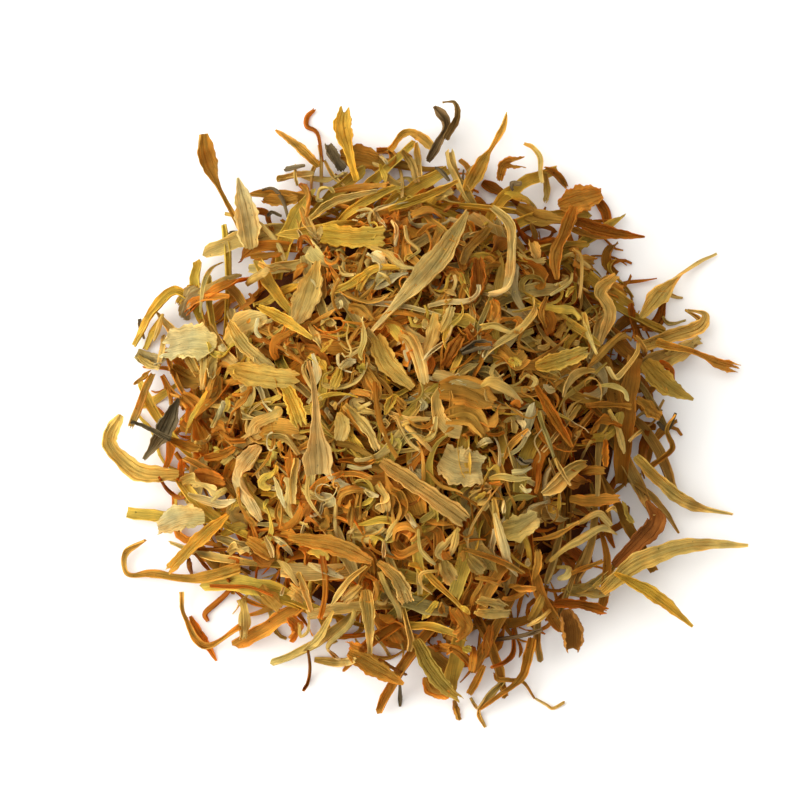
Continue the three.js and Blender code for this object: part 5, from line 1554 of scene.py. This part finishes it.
def core_piece():
    """A closed lump: rings of points on the core's top, from the middle out, and back
    along its flat underside. The first and the last ring shrink to a point."""
    share = np.concatenate([np.linspace(0, 1, CORE_RINGS), np.linspace(1, 0, UNDERSIDE_RINGS)])
    angle = np.linspace(0, 2 * np.pi, CORE_SIDES, endpoint=False)
    radius, angle = np.meshgrid((CORE_RADIUS - CORE_INSET) * share, angle, indexing="ij")
    x, y = radius * np.cos(angle), radius * np.sin(angle)
    z = core_top(x, y)
    z[CORE_RINGS:] = CORE_FOOT
    points = np.stack([x, y, z], axis=-1).reshape(-1, 3)
    number = np.arange(len(points)).reshape(-1, CORE_SIDES)
    right = np.roll(number, -1, axis=1)
    faces = np.stack([number[:-1], number[1:], right[1:], right[:-1]], axis=-1).reshape(-1, 4)
    tint = np.tile(linear(CORE_SHADE_COLOUR), (len(points), 1))
    place = np.stack([CORE_ALONG * angle, CORE_ACROSS * radius], axis=-1).reshape(-1, 2)
    return mesh_piece("heap_core", points, faces, tint, place)


dressed(core_piece(), "amber", "petal_heap")

# %% The petals that can be told apart
LOOSE_COLUMNS = 21
rng = np.random.default_rng(5)
for petal in LOOSE:
    half = loose_half_widths[petal.name][None]
    line = loose_lines[petal.name]
    turns = np.linspace(*petal.turns, LOOSE_STATIONS) if len(petal.turns) == 2 else smooth_row(
        petal.turns, LOOSE_STATIONS)
    skins = blades(line[None], turns[None], half, petal.curl, pleat=0.17, folds=4.3, crease=0.28,
                   ruffle=petal.ruffle, ragged=0.09, teeth=petal.teeth, fork=petal.fork,
                   wrinkle=0.12, phase=rng.uniform(*ANY_START), columns=LOOSE_COLUMNS)
    length = np.linalg.norm(np.diff(line, axis=0), axis=1).sum()
    tints = petal_tints(petal.colours, rng, 1, vary=0.03)
    piece = petals_piece("fine_" + petal.name, above_floor(skins), tints, [length], half)
    dressed(piece, petal.finish, petal.name)
print("dressed petals:", len(LOOSE))

# %% [markdown]
# ## Floor and light
#
# The heap lies on a plain pale floor. The photograph's light is soft and comes from the
# upper left: in linear light the left side of the heap is about twice as bright as the
# right. A wide lamp stands for the window, a low one fills the left side, and a pale sky
# reaches into the gaps.

# %% Floor
FLOOR_HALF = 2000
FLOOR_COLOUR = (0.9, 0.89, 0.87, 1)


def make_floor():
    """A matt square under the heap, which only the render shows."""
    mesh = bpy.data.meshes.new("floor")
    far = FLOOR_HALF * MM
    corners = [(-far, -far, 0), (far, -far, 0), (far, far, 0), (-far, far, 0)]
    mesh.from_pydata(corners, [], [(0, 1, 2, 3)])
    floor = bpy.data.objects.new("floor", mesh)
    bpy.context.scene.collection.objects.link(floor)
    material = bpy.data.materials.new("pale floor")
    material.use_nodes = True
    shader = material.node_tree.nodes["Principled BSDF"]
    shader.inputs["Base Color"].default_value = FLOOR_COLOUR
    shader.inputs["Roughness"].default_value = 0.9
    mesh.materials.append(material)


make_floor()


# %% Light
def soft_light(name, place, size, power, colour):
    """A square lamp that faces the heap. Its place and size are in mm."""
    lamp = bpy.data.lights.new(name, "AREA")
    lamp.size = size * MM
    lamp.energy = power
    lamp.color = colour
    holder = bpy.data.objects.new(name, lamp)
    bpy.context.scene.collection.objects.link(holder)
    holder.location = Vector(place) * MM
    holder.rotation_euler = Vector(place).to_track_quat("Z", "Y").to_euler()


def sky(strength, colour):
    """Even light from all round."""
    world = bpy.data.worlds.new("room")
    bpy.context.scene.world = world
    world.use_nodes = True
    background = world.node_tree.nodes["Background"]
    background.inputs["Color"].default_value = colour
    background.inputs["Strength"].default_value = strength


soft_light("window", place=(-405, 180, 760), size=1000, power=6.3, colour=(1, 0.98, 0.94))
soft_light("low fill", place=(-620, -150, 330), size=500, power=4.2, colour=(1, 0.98, 0.95))
sky(strength=0.85, colour=(1, 0.99, 0.97, 1))
bpy.context.scene.view_settings.view_transform = "Standard"
